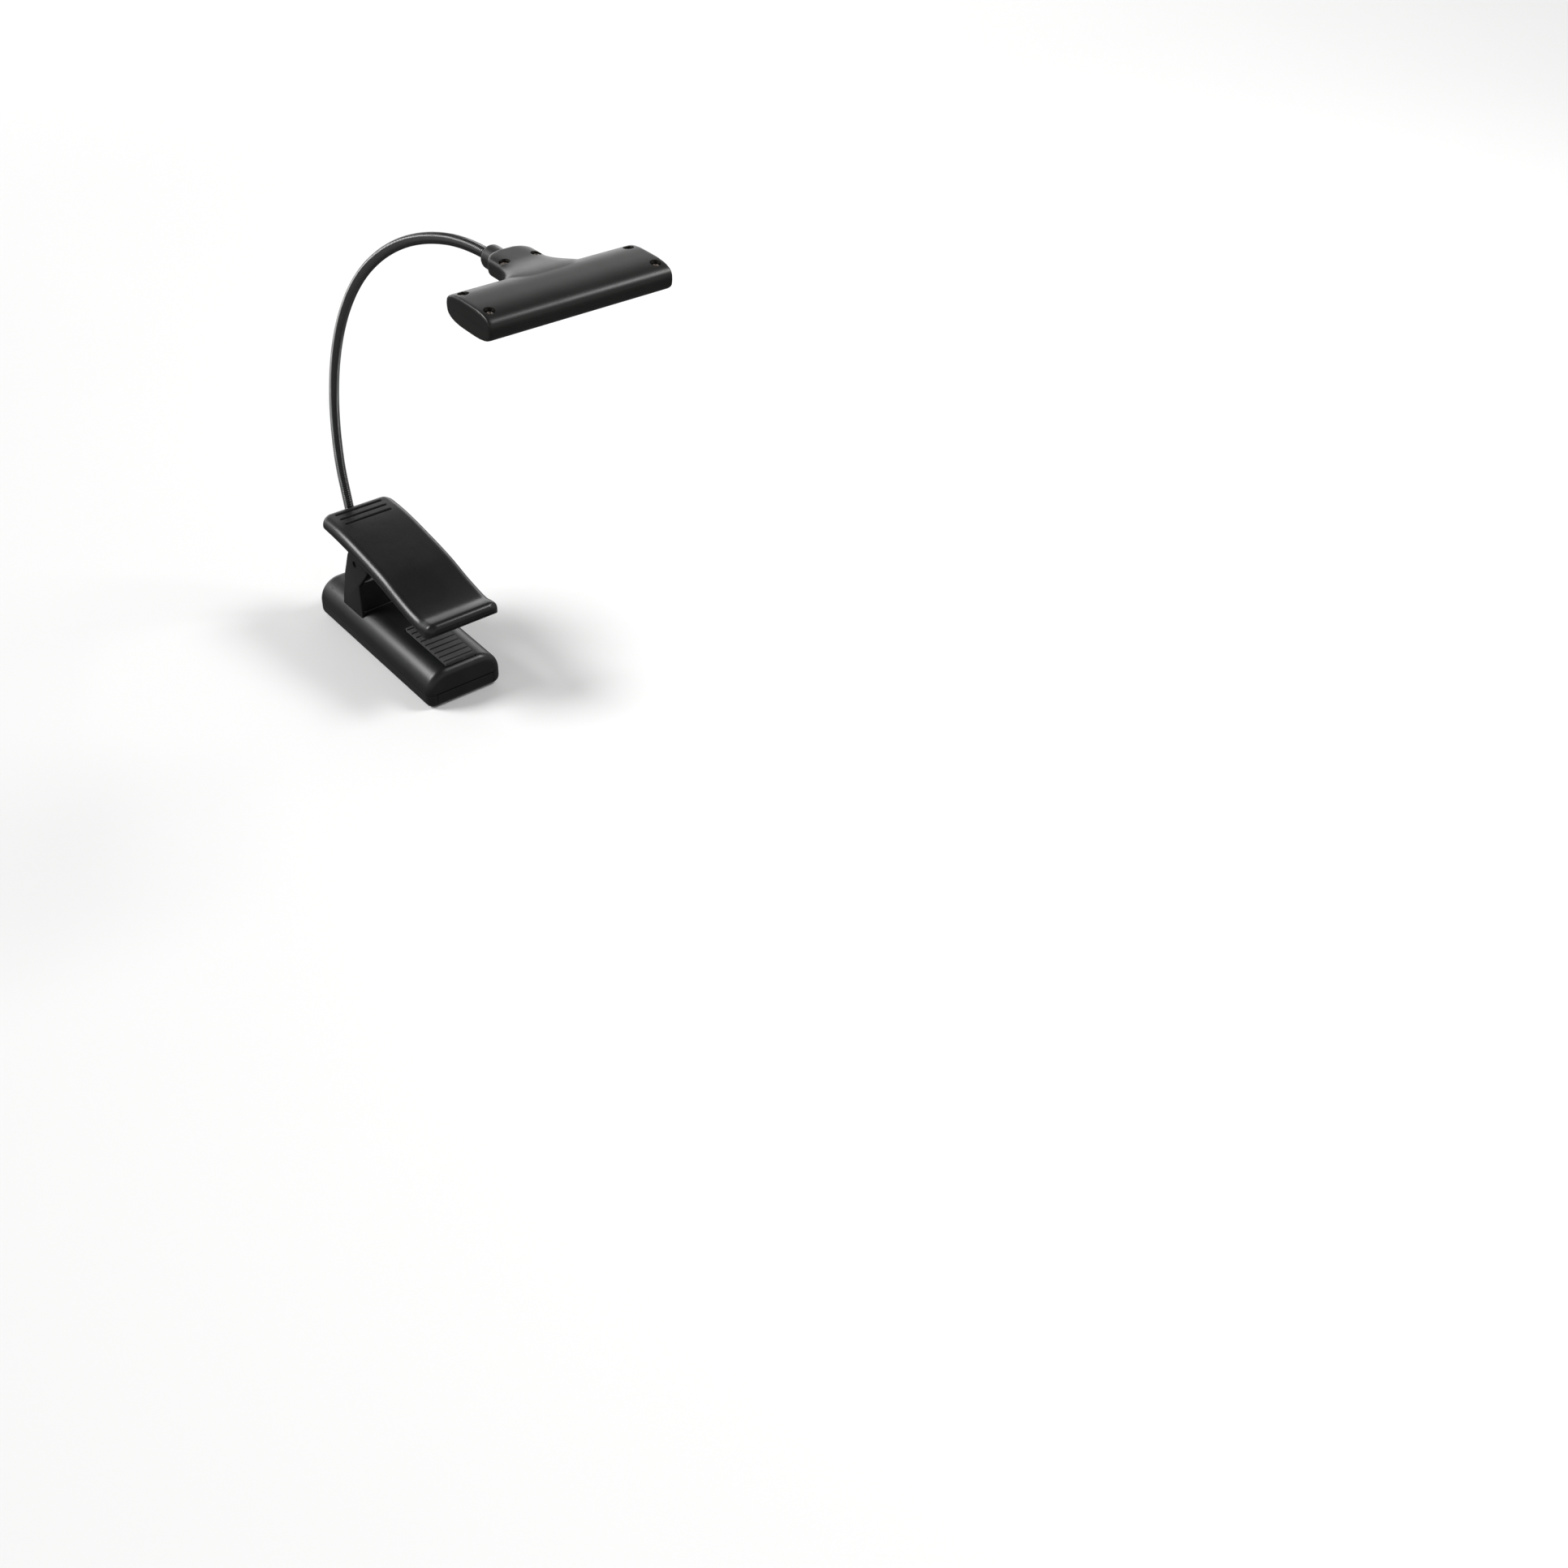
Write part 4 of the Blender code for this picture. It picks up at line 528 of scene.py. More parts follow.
def finish_piece(piece, body, material, slot, *nodes, sharp=38.0):
    """Shades a piece, gives it its material and hands it to its body. Its slot is not used."""
    piece.data.materials.clear()
    piece.data.materials.append(material)
    piece.data.shade_smooth()
    piece.data.set_sharp_from_angle(angle=math.radians(sharp))
    if nodes:
        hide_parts(*nodes)
    if body:
        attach(piece, body)
    return piece


def finish_node(node, material):
    """Gives a carried-over node its material."""
    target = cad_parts[node]
    target.data.materials.clear()
    target.data.materials.append(material)


def settings():
    return bpy.context.scene.lamp_sizes, bpy.context.scene.lamp_colours


# ------------------------------------------------------------------ the neck's line


def neck_frame(distance):
    """The neck's place and direction at a distance along it: +Z runs along the neck, X stays X."""
    place, tilt = NECK_BASE.copy(), math.radians(NECK_TILT)
    left = distance * 1000
    for length, end_tilt in NECK_ARCS:
        end_tilt = math.radians(end_tilt)
        last = (length, end_tilt) == (NECK_ARCS[-1][0], math.radians(NECK_ARCS[-1][1]))
        run = left if last or left < length else length
        bend = (end_tilt - tilt) * run / length
        if abs(bend) < 1e-9:
            place += Vector((0, math.sin(tilt), math.cos(tilt))) * run * MM
        else:
            radius = run * MM / bend
            place += radius * Vector((0, math.cos(tilt) - math.cos(tilt + bend),
                                      math.sin(tilt + bend) - math.sin(tilt)))
        tilt += bend
        left -= run
        if left <= 0:
            break
    along = Vector((0, math.sin(tilt), math.cos(tilt)))
    side = along.cross(X)
    turn = Matrix((X, side, along)).transposed().to_4x4()
    turn.translation = place
    return turn


def neck_place(distance):
    return neck_frame(distance).translation


def wound_wire(shape, radius, wire, turns, rise, start=0.0, steps=18, sides=8):
    """Winds a round wire about +Z from a height."""
    ring = bmesh.ops.create_circle(
        shape, cap_ends=False, radius=wire, segments=sides,
        matrix=Matrix.Translation((radius, 0, start)) @ Matrix.Rotation(math.pi / 2, 4, "X"))["verts"]
    edges = list({edge for corner in ring for edge in corner.link_edges})
    count = round(turns * steps)
    bmesh.ops.spin(shape, geom=ring + edges, cent=(0, 0, 0), axis=(0, 0, 1), dvec=(0, 0, rise / steps),
                   angle=2 * math.pi * count / steps, steps=count, use_merge=False)


def close_ends(shape):
    bmesh.ops.holes_fill(shape, edges=[edge for edge in shape.edges if edge.is_boundary], sides=40)


# ------------------------------------------------------------------ the case


def case_section(inset):
    """The case's outline in (X, Z), drawn in by an inset."""
    sizes, _ = settings()
    foot, shoulder = sizes.case_bottom_radius, sizes.case_top_radius
    right = arc((CASE_HALF - foot, foot), foot - inset, -90, 0, 8)
    right += arc((CASE_HALF - shoulder, sizes.case_height - shoulder), shoulder - inset, 0, 90, 24)
    return right + [(-x, z) for x, z in reversed(right)]


def case_block(name, inset):
    """The case's outer shape, or its hollow with an inset."""
    sizes, _ = settings()
    front, back = CASE_FRONT + inset, CASE_BACK - inset
    if inset:
        return slab(name, case_section(inset), Y, front, back)
    round_end, count = sizes.case_end_rounding, 9
    angles = [math.pi / 2 * i / count for i in range(count + 1)]
    ends = [(round_end * (1 - math.sin(a)), round_end * (1 - math.cos(a))) for a in angles]
    stations = [(front + back_off, draw) for draw, back_off in ends]
    stations += [(back - back_off, draw) for draw, back_off in reversed(ends)]
    return loft(name, [[Vector((x, y, z)) for x, z in case_section(draw)] for y, draw in stations])


def case_shelf(sizes):
    """The height where the case's two shells meet."""
    return sizes.case_height - sizes.case_top_radius


def ear_outline(foot):
    """A clip ear: its foot in the case's shoulder, its top round the pivot."""
    y, z = PIVOT.y, PIVOT.z
    back = [(y + 0.0127, foot), (y + 0.0118, foot + 0.0042), (y + 0.0083, z - 0.0068)]
    top = arc((y, z), 0.0052, 25, 100, 14)
    nose = arc((y - 0.0070, z + 0.0008), 0.0016, 100, 235, 12)
    return back + top + nose + [(y - 0.0013, z - 0.0085), (y - 0.0013, foot)]


def case_posts():
    """The middles of the four case screws."""
    return [(sum(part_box(f"case_screw_{number}"), Vector()) / 2).to_2d() for number in range(1, 5)]


class LAMP_OT_case(bpy.types.Operator):
    """Models the battery case: its lower and upper shells with the clip's ears, and the sliding door"""

    bl_idname = "lamp.case"
    bl_label = "Battery case"

    def execute(self, context):
        sizes, colours = settings()
        plastic = moulded_plastic("Shell plastic", colours.case, 0.34)
        split, reach = case_shelf(sizes), 0.1
        roof, wall = sizes.case_height, sizes.wall

        def hollow():
            return case_block("case_hollow", wall)

        def half_space(name, low_z, high_z):
            return block(name, (-reach, -reach, low_z), (reach, reach, high_z))

        top = carve(case_block("case_upper", 0.0), "cut", hollow(),
                    half_space("below", -reach, split + sizes.seam / 2))
        for sign in (-1, 1):
            low, high = sorted((sign * EAR_FACE, sign * (EAR_FACE - EAR_WIDTH)))
            ear = slab("ear", ear_outline(roof - 0.0037), X, low, high, 0.00035, 3)
            carve(top, "join", carve(ear, "cut", hollow()))
        middle, throat = EAR_FACE - EAR_WIDTH / 2, PIVOT.y - 0.0013
        carve(top, "join", block("throat", (-middle, throat, roof - wall / 2),
                                 (middle, throat + 0.0015, roof + 0.0115), 0.0003))
        carve(top, "join", block("throat_root", (-middle, throat - 0.0006, roof - wall / 2),
                                 (middle, throat + 0.0021, roof + 0.0006), 0.00029))
        side, shoulder, y = CASE_HALF - 2 * wall, CASE_HALF - sizes.case_top_radius, 0.01585
        carve(top, "join", block("partition", (-side, y, wall + 0.0006), (side, y + 0.0012, roof - 0.0039)),
              block("partition_root", (-shoulder, y, roof - 0.0044), (shoulder, y + 0.0012, roof - 0.0009)))
        skirt = [(0.0, -0.0012), (0.0062, -0.0012), (0.0055, 0.0001), (0.0048, 0.0006), (0.0043, 0.0013)]
        rim = arc((0.0039, 0.0026), 0.0004, 0, 90, 5)
        collar = turned("neck_collar", [*skirt, *rim, (0.0, 0.003)], neck_frame(0.0))
        carve(top, "join", carve(collar, "cut", hollow()))

        bottom = carve(case_block("case_lower", 0.0), "cut", hollow(),
                       half_space("above", split - sizes.seam / 2, reach))
        for x, y in case_posts():
            carve(top, "join", rod("post", 0.0021, (x, y, split + HALF_GAP), (x, y, roof - 0.0019)))
            carve(top, "cut", rod("pilot", SCREW_WAY, (x, y, 0.0), (x, y, roof - 0.0044), 32))
            carve(bottom, "join", rod("foot", 0.0026, (x, y, wall / 2), (x, y, split - HALF_GAP)))
            carve(bottom, "cut", rod("through", SCREW_WAY, (x, y, -0.01), (x, y, 0.01), 32),
                  rod("sink", 0.0017, (x, y, -0.01), (x, y, 0.0021)))
        z = button_height()
        carve(top, "cut", rod("pin_hole", PIN_BORE, (-reach, PIVOT.y, PIVOT.z), (reach, PIVOT.y, PIVOT.z)),
              rod("neck_bore", NECK_BORE, neck_place(-0.006), neck_place(0.006)),
              rod("button_hole", 0.00275, (0, CASE_BACK - wall - 0.001, z), (0, CASE_BACK + 0.001, z)))
        low, high = LOWER_PAD
        carve(top, "cut", block("pad_seat", low - Vector((PAD_ROOM, PAD_ROOM, PAD_ROOM)),
                                high + Vector((PAD_ROOM, PAD_ROOM, 0.001))))

        gap = 0.00018
        door_back, door_half = 0.01115, 0.0114
        carve(bottom, "cut", block("doorway", (-door_half - gap, CASE_FRONT - 0.001, -0.001),
                                   (door_half + gap, door_back + gap, split + 0.001)))
        door = carve(case_block("door", 0.0), "cut", hollow())
        carve(door, "keep", block("door_reach", (-door_half, CASE_FRONT - 0.001, -0.001),
                                  (door_half, door_back, split - 0.0003)))
        tab = 0.0018
        carve(door, "join", block("door_tab", (-tab, door_back - 0.0015, wall * 0.5),
                                  (tab, door_back - 0.0001, wall + 0.0011)),
              block("door_hook", (-tab, door_back - 0.0008, wall + 0.0003),
                    (tab, door_back + 0.0026, wall + 0.0011)))
        for ridge in range(4):
            y = door_back - 0.004 - ridge * 0.0016
            carve(door, "cut", slab("door_groove", [(y - 0.0004, -0.001), (y + 0.0004, -0.001),
                                                    (y + 0.0004, 0.0), (y + 0.00018, 0.00042),
                                                    (y - 0.00018, 0.00042), (y - 0.0004, 0.0)],
                                    X, -0.0055, 0.0055))
        finish_piece(top, "case", plastic, "case_plastic", "case_top_shell")
        finish_piece(bottom, "case", plastic, "case_plastic", "case_bottom_shell")
        finish_piece(door, "door", plastic, "case_plastic", "battery_door")
        return {"FINISHED"}


def button_height():
    return (BUTTON_LOW.z + BUTTON_HIGH.z) / 2


class LAMP_OT_button(bpy.types.Operator):
    """Models the push button in the case's back wall"""

    bl_idname = "lamp.button"
    bl_label = "Push button"

    def execute(self, context):
        _, colours = settings()
        place = along_y((0, 0, button_height()))
        flange, face, radius = BUTTON_LOW.y, BUTTON_HIGH.y, 0.0026
        rim = arc((radius - 0.0004, face - 0.0004), 0.0004, 0, 90, 6)
        dish = [(radius - 0.0007, face - 0.00002), (radius * 0.5, face - 0.0002), (0.0, face - 0.00026)]
        button = turned("push_button", [(0.0, flange), (0.0031, flange), (0.0031, flange + 0.0007),
                                        (radius, flange + 0.0007), *rim, *dish], place)
        plastic = moulded_plastic("Button plastic", colours.case, 0.27)
        finish_piece(button, "button", plastic, "button_plastic", "power_button")
        return {"FINISHED"}


# ------------------------------------------------------------------ the clip


# The lever's top and lower edge, as (place, height) from the pivot
LEVER_CROWN = ((.0197, .0110), (.0072, .0108), (-.0078, .0089), (-.0218, .0064),
               (-.0348, .0028), (-.0443, .0012), (-.0488, .0019), (-.0523, .0022))
LEVER_SKIRT = ((.0197, .0073), (.0072, .0066), (-.0078, .0048), (-.0218, .0022),
               (-.0348, -.0008), (-.0443, -.0028), (-.0480, -.0035), (-.0507, -.0031), (-.0523, -.0016))
BACK_CORNER, NOSE_CORNER, NOSE_ROUNDING = 0.0035, 0.0030, 0.0024


def crown_height(y):
    return PIVOT.z + smooth_value(LEVER_CROWN, y - PIVOT.y)


def skirt_height(y):
    return PIVOT.z + smooth_value(LEVER_SKIRT, y - PIVOT.y)


def lever_ring(y, inset, floor=None):
    """The lever's section at y: flat below, with a round top edge each side."""
    sizes, _ = settings()
    width = LEVER_HIGH.x
    for room, corner in ((LEVER_HIGH.y - y, BACK_CORNER), (y - LEVER_LOW.y, NOSE_CORNER)):
        past = corner - room
        if past > 0:
            width -= corner - math.sqrt(max(corner**2 - past**2, 0.0))
    half = width - inset
    top = crown_height(y) - inset
    for room, fall in ((LEVER_HIGH.y - y, sizes.lever_edge * 0.5), (y - LEVER_LOW.y, NOSE_ROUNDING)):
        past = fall - room
        if past > 0:
            top -= fall - math.sqrt(max(fall**2 - past**2, 0.0))
    bottom = skirt_height(y) if floor is None else floor
    radius = min(sizes.lever_edge - inset, 0.85 * (top - bottom), 0.9 * half)
    foot = 0.0 if floor is not None else min(0.0005, 0.3 * (top - bottom))
    right = arc((half - foot, bottom + foot), foot, -90, 0, 4) if foot else [(half, bottom)]
    right += arc((half - radius, top - radius), radius, 0, 90, 16)
    outline = right + [(-x, z) for x, z in reversed(right)]
    return [Vector((x, y, z)) for x, z in outline]


class LAMP_OT_lever(bpy.types.Operator):
    """Models the lever that is the clip's upper jaw and its handle"""

    bl_idname = "lamp.lever"
    bl_label = "Clip lever"

    def execute(self, context):
        sizes, colours = settings()
        back, tip, wall = LEVER_HIGH.y - 1e-5, LEVER_LOW.y + 1e-5, sizes.lever_wall
        count = 12
        stations = [back - BACK_CORNER * (1 - math.cos(math.pi / 2 * i / count)) for i in range(count + 1)]
        start, end = stations[-1], tip + NOSE_CORNER
        stations += [start + (end - start) * i / 64 for i in range(1, 65)]
        stations += [tip + NOSE_CORNER * (1 - math.sin(math.pi / 2 * i / 20)) for i in range(1, 21)]
        lever = loft("clip_lever_body", [lever_ring(y, 0.0) for y in stations])
        hollow_back, hollow_tip, floor = LEVER_HIGH.y - wall, LEVER_LOW.y + 0.0065, LEVER_LOW.z - 0.01
        carve(lever, "cut", loft("lever_hollow", [
            lever_ring(hollow_back + (hollow_tip - hollow_back) * i / 50, wall, floor) for i in range(51)]))

        inner, lug_width = EAR_FACE - EAR_WIDTH - 0.0003, 0.0018
        around = arc((PIVOT.y, PIVOT.z), 0.003, 200, 350, 16)
        rim = [(y, crown_height(y) - 0.6 * wall) for y in (PIVOT.y + 0.0052, PIVOT.y, PIVOT.y - 0.0052)]
        for sign in (-1, 1):
            low, high = sorted((sign * inner, sign * (inner - lug_width)))
            carve(lever, "join", slab("lug", around + rim, X, low, high))
        carve(lever, "cut", rod("pin_way", PIN_BORE, (-0.1, PIVOT.y, PIVOT.z), (0.1, PIVOT.y, PIVOT.z)))
        steps = ((-0.0009, 0.0009), (-0.0002, 0.00115), (0.0, 0.00145), (0.001, 0.0030))
        for groove in range(3):
            y = LEVER_HIGH.y - 0.003 - groove * 0.0035
            height = crown_height(y)
            carve(lever, "cut", loft("grip", [
                [Vector((u, v, height + rise)) for u, v in round_ended(0.0176 + width, width, y)]
                for rise, width in steps]))
        low, high = UPPER_PAD
        carve(lever, "cut", block("nose_seat", low - Vector((PAD_ROOM, PAD_ROOM, 0.01)),
                                  high + Vector((PAD_ROOM, PAD_ROOM, PAD_ROOM))))
        plastic = moulded_plastic("Lever plastic", colours.lever, 0.30)
        finish_piece(lever, "clip_lever", plastic, "lever_plastic", "lever")
        return {"FINISHED"}


def round_ended(length, width, y):
    """A slot's outline in (X, Y) with round ends."""
    half, radius = length / 2 - width / 2, width / 2
    return arc((half, y), radius, -90, 90, 10) + arc((-half, y), radius, 90, 270, 10)


class LAMP_OT_pads(bpy.types.Operator):
    """Models the two ribbed rubber jaw pads"""

    bl_idname = "lamp.pads"
    bl_label = "Jaw pads"

    def execute(self, context):
        _, colours = settings()
        soft = rubber("Pad rubber", colours.rubber)
        for name, (low, high), node, body, ribs, way in (
                ("lower_pad", LOWER_PAD, "lower_jaw_pad", "case", 9, 1),
                ("upper_pad", UPPER_PAD, "upper_jaw_pad", "clip_lever", 2, -1)):
            pad = block(name, low, high, 0.0003, 3)
            face = high.z if way > 0 else low.z
            above, below = face + 0.001 * way, face - 0.0004 * way
            for i in range(ribs):
                y = low.y + (high.y - low.y) * (i + 0.5) / ribs
                vee = [(y - 0.00045, above), (y + 0.00045, above), (y + 0.00035, face),
                       (y + 0.00015, below), (y - 0.00015, below), (y - 0.00035, face)]
                carve(pad, "cut", slab("rib", vee, X, low.x - 0.001, high.x + 0.001))
            finish_piece(pad, body, soft, "pad_rubber", node)
        return {"FINISHED"}


class LAMP_OT_hinge(bpy.types.Operator):
    """Models the clip's pin and its torsion spring"""

    bl_idname = "lamp.hinge"
    bl_label = "Pin and spring"

    def execute(self, context):
        _, colours = settings()
        pin = rod("hinge_pin", PIN_RADIUS, (PIN_LOW.x, PIVOT.y, PIVOT.z), (PIN_HIGH.x, PIVOT.y, PIVOT.z), 64,
                  0.0002)
        steel = plated_metal("Pin steel", colours.nickel, 0.28, (0.05, 1.0, 1.0))
        finish_piece(pin, "case", steel, "bright_steel", "pivot_pin")

        wire, radius, turns, pitch, leg = 0.0004, 0.0024, 7, 0.00115, 0.0125
        half = turns * pitch / 2
        start, end = math.radians(114), math.radians(44)
        sweep = 2 * math.pi * turns + end - start
        shape = bmesh.new()
        root = Vector((-half, PIVOT.y + radius * math.cos(start), PIVOT.z + radius * math.sin(start)))
        away = Vector((0, math.sin(start), -math.cos(start)))
        turn = away.to_track_quat("Z", "Y").to_matrix().to_4x4()
        ring = bmesh.ops.create_circle(shape, cap_ends=False, radius=wire, segments=14,
                                       matrix=Matrix.Translation(root) @ turn)["verts"]
        edges = list({edge for corner in ring for edge in corner.link_edges})
        self.straight_leg(shape, edges, away * leg)
        steps = 24 * turns
        wound = bmesh.ops.spin(shape, geom=ring + edges, cent=PIVOT, axis=X, dvec=(2 * half / steps, 0, 0),
                               angle=sweep, steps=steps, use_merge=False)["geom_last"]
        away = Vector((0, math.sin(end), -math.cos(end)))
        self.straight_leg(shape, [item for item in wound if isinstance(item, bmesh.types.BMEdge)], away * leg)
        close_ends(shape)
        spring = as_object("torsion_spring", shape)
        steel = plated_metal("Spring steel", (0.42, 0.42, 0.43), 0.30)
        finish_piece(spring, None, steel, "spring_steel", "clip_spring")
        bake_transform(spring)
        return {"FINISHED"}

    def straight_leg(self, shape, edges, run):
        made = bmesh.ops.extrude_edge_only(shape, edges=edges)["geom"]
        corners = [item for item in made if isinstance(item, bmesh.types.BMVert)]
        bmesh.ops.translate(shape, vec=run, verts=corners)


# ------------------------------------------------------------------ the neck


class LAMP_OT_neck(bpy.types.Operator):
    """Winds the gooseneck's wire in five lengths, and models its sleeve and grommet"""

    bl_idname = "lamp.neck"
    bl_label = "Gooseneck"

    def execute(self, context):
        sizes, colours = settings()
        plating = neck_plating("Neck plating", colours.neck)
        stops = (-0.003, 0.070, 0.106, 0.142, 0.178, 0.2275)
        for index, joint_at in enumerate(NECK_JOINT_PLACES):
            start, end = stops[index], stops[index + 1]
            nodes = [f"neck_{index + 1}"] if index < 4 else ["neck_5", "neck_6"]
            length = neck_length(f"neck_length_{index + 1}", start, end, sizes)
            finish_piece(length, None, plating, "neck_steel", *nodes, sharp=60.0)
            neck_place(joint_at - NECK_BEND_REACH)
            neck_place(joint_at + NECK_BEND_REACH)
            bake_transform(length)

        nickel = plated_metal("Sleeve plating", (0.10, 0.10, 0.10), 0.3)
        self.sleeve("neck_sleeve", -0.0052, 0.0041, neck_frame(0.0), "case", nickel, "neck_ferrule")
        low, high, rim, corner = 0.0033, 0.0045, 0.0040, 0.0007
        lip = arc((rim - corner, high - corner), corner, 0, 90, 8)
        grommet = turned("grommet", [(NECK_BORE, low), (rim, low), *lip, (NECK_BORE, high)], neck_frame(0.0))
        soft = rubber("Grommet rubber", colours.rubber)
        finish_piece(grommet, "case", soft, "pad_rubber", "neck_grommet")
        low, high = HEAD_SLEEVE
        place = along_y(((low.x + high.x) / 2, 0, (low.z + high.z) / 2))
        self.sleeve("head_sleeve", low.y, high.y, place, "light_bar", nickel, "head_ferrule")
        return {"FINISHED"}

    def sleeve(self, name, low, high, place, body, material, node):
        """A thin crimped sleeve with a rounded lip."""
        inner, outer, corner = 0.0019, 0.0023, 0.00018
        lip = arc((outer - corner, high - corner), corner, 0, 90, 4)
        made = turned(name, [(inner, low), (outer, low), *lip, (inner, high)], place)
        finish_piece(made, body, material, "bright_steel", node)


def neck_length(name, start, end, sizes):
    """One length of the neck: a close-wound round wire over a thin core, in whole turns."""
    turns = round((end - start) / sizes.coil_pitch)
    rise = (end - start) / turns
    shape = bmesh.new()
    wound_wire(shape, NECK_RADIUS - sizes.coil_wire, sizes.coil_wire, 1, rise, start)
    core = NECK_RADIUS - 1.5 * sizes.coil_wire
    bmesh.ops.create_cone(shape, cap_ends=False, segments=18, depth=rise, radius1=core, radius2=core,
                          matrix=Matrix.Translation((0, 0, start + rise / 2)))
    length = as_object(name, shape)
    repeat = length.modifiers.new("Turns", "ARRAY")
    repeat.count, repeat.use_relative_offset, repeat.use_constant_offset = turns, False, True
    repeat.constant_offset_displace = (0, 0, rise)
    repeat.use_merge_vertices, repeat.merge_threshold = True, 1e-6
    bake(length)
    shape = bmesh.new()
    shape.from_mesh(length.data)
    close_ends(shape)
    bmesh.ops.recalc_face_normals(shape, faces=shape.faces)
    for corner in shape.verts:
        corner.co = neck_frame(corner.co.z) @ Vector((corner.co.x, corner.co.y, 0))
    shape.to_mesh(length.data)
    shape.free()
    return length


# ------------------------------------------------------------------ the light bar


BAR_MIDDLE = Vector((0.0, -0.10655, 0.17708))
BAR_CORNER = 0.0005
BAR_HALF_DEPTH, BAR_HALF_HEIGHT, BAR_POWER = 0.0106, 0.0042, 3.0
TONGUE_BACK, TONGUE_Z, TONGUE_HALF_HEIGHT, TONGUE_CORNER = -0.07965, 0.17678, 0.0031, 0.0032
BOSS_Z, BOSS_RADIUS, BOSS_LENGTH = 0.17458, 0.0036, 0.008
HEAD_WALL = 0.0011


def rounded_section(half_u, half_v, power, steps):
    """A rounded oblong: |u / half_u|^power + |v / half_v|^power = 1."""
    outline = []
    for i in range(steps):
        angle = 2 * math.pi * (i + 0.5) / steps
        c, s = math.cos(angle), math.sin(angle)
        outline.append((math.copysign(half_u * abs(c) ** (2 / power), c),
                        math.copysign(half_v * abs(s) ** (2 / power), s)))
    return outline


def bar_block(name, inset, rounding=0.0):
    """The bar without its tongue, drawn in by an inset."""
    section = rounded_section(BAR_HALF_DEPTH - inset, BAR_HALF_HEIGHT - inset, BAR_POWER, 96)
    half = BAR_HIGH.x - inset
    outline = [(BAR_MIDDLE.y + u, BAR_MIDDLE.z + v) for u, v in section]
    return slab(name, outline, X, -half, half, rounding, 4)


def tongue_half_width(y):
    """Half the tongue's width: round at its back corners, flared where it meets the bar."""
    half, corner = 0.0075, TONGUE_CORNER
    past = corner - (TONGUE_BACK - y)
    if past > 0:
        half -= corner - math.sqrt(max(corner**2 - past**2, 0.0))
    root, flare = BAR_MIDDLE.y + BAR_HALF_DEPTH, 0.0040
    share = min(max((root + 2 * flare - y) / (2 * flare), 0.0), 1.2)
    return half + flare * share**1.8


def tongue_block(name, inset):
    """The tongue, which rises on to the bar's crown, drawn in by an inset."""
    back, front = TONGUE_BACK - inset, BAR_MIDDLE.y + 0.001
    stations = [back - 1e-5 - TONGUE_CORNER * (1 - math.cos(math.pi / 2 * i / 10)) for i in range(11)]
    stations += [stations[-1] + (front - stations[-1]) * i / 24 for i in range(1, 25)]
    rings = []
    for y in stations:
        share = min(max((BAR_MIDDLE.y + 0.0195 - y) / 0.0145, 0.0), 1.0)
        rise = share * share * (3 - 2 * share)
        middle = TONGUE_Z + (BAR_MIDDLE.z - TONGUE_Z) * rise
        half = TONGUE_HALF_HEIGHT + (0.00405 - TONGUE_HALF_HEIGHT) * rise
        section = rounded_section(tongue_half_width(min(y, back)) - inset, half - inset, 4.6, 72)
        rings.append([Vector((u, y, middle + v)) for u, v in section])
    return loft(name, rings)


def head_solid(sizes):
    """The bar, its tongue and the neck's boss, melted into one soft-cornered shape."""
    solid = carve(bar_block("head_solid", 0.0, BAR_CORNER), "join", tongue_block("tongue", 0.0),
                  rod("boss", BOSS_RADIUS, (0, TONGUE_BACK - 0.006, BOSS_Z),
                      (0, TONGUE_BACK + BOSS_LENGTH, BOSS_Z), 64, 0.0004))
    fuse(solid, sizes.bar_grain, 5)
    return solid


def copied(source, name):
    made = bpy.data.objects.new(name, source.data.copy())
    made.data.name = name
    bpy.context.scene.collection.objects.link(made)
    return made


def head_screws():
    """(node, middle, height of its top) of the light bar's six screws."""
    found = []
    for place in ("front", "back", "tongue"):
        for side in ("left", "right"):
            low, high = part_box(f"head_screw_{place}_{side}")
            found.append((f"head_screw_{place}_{side}", (low + high) / 2, high.z))
    return found


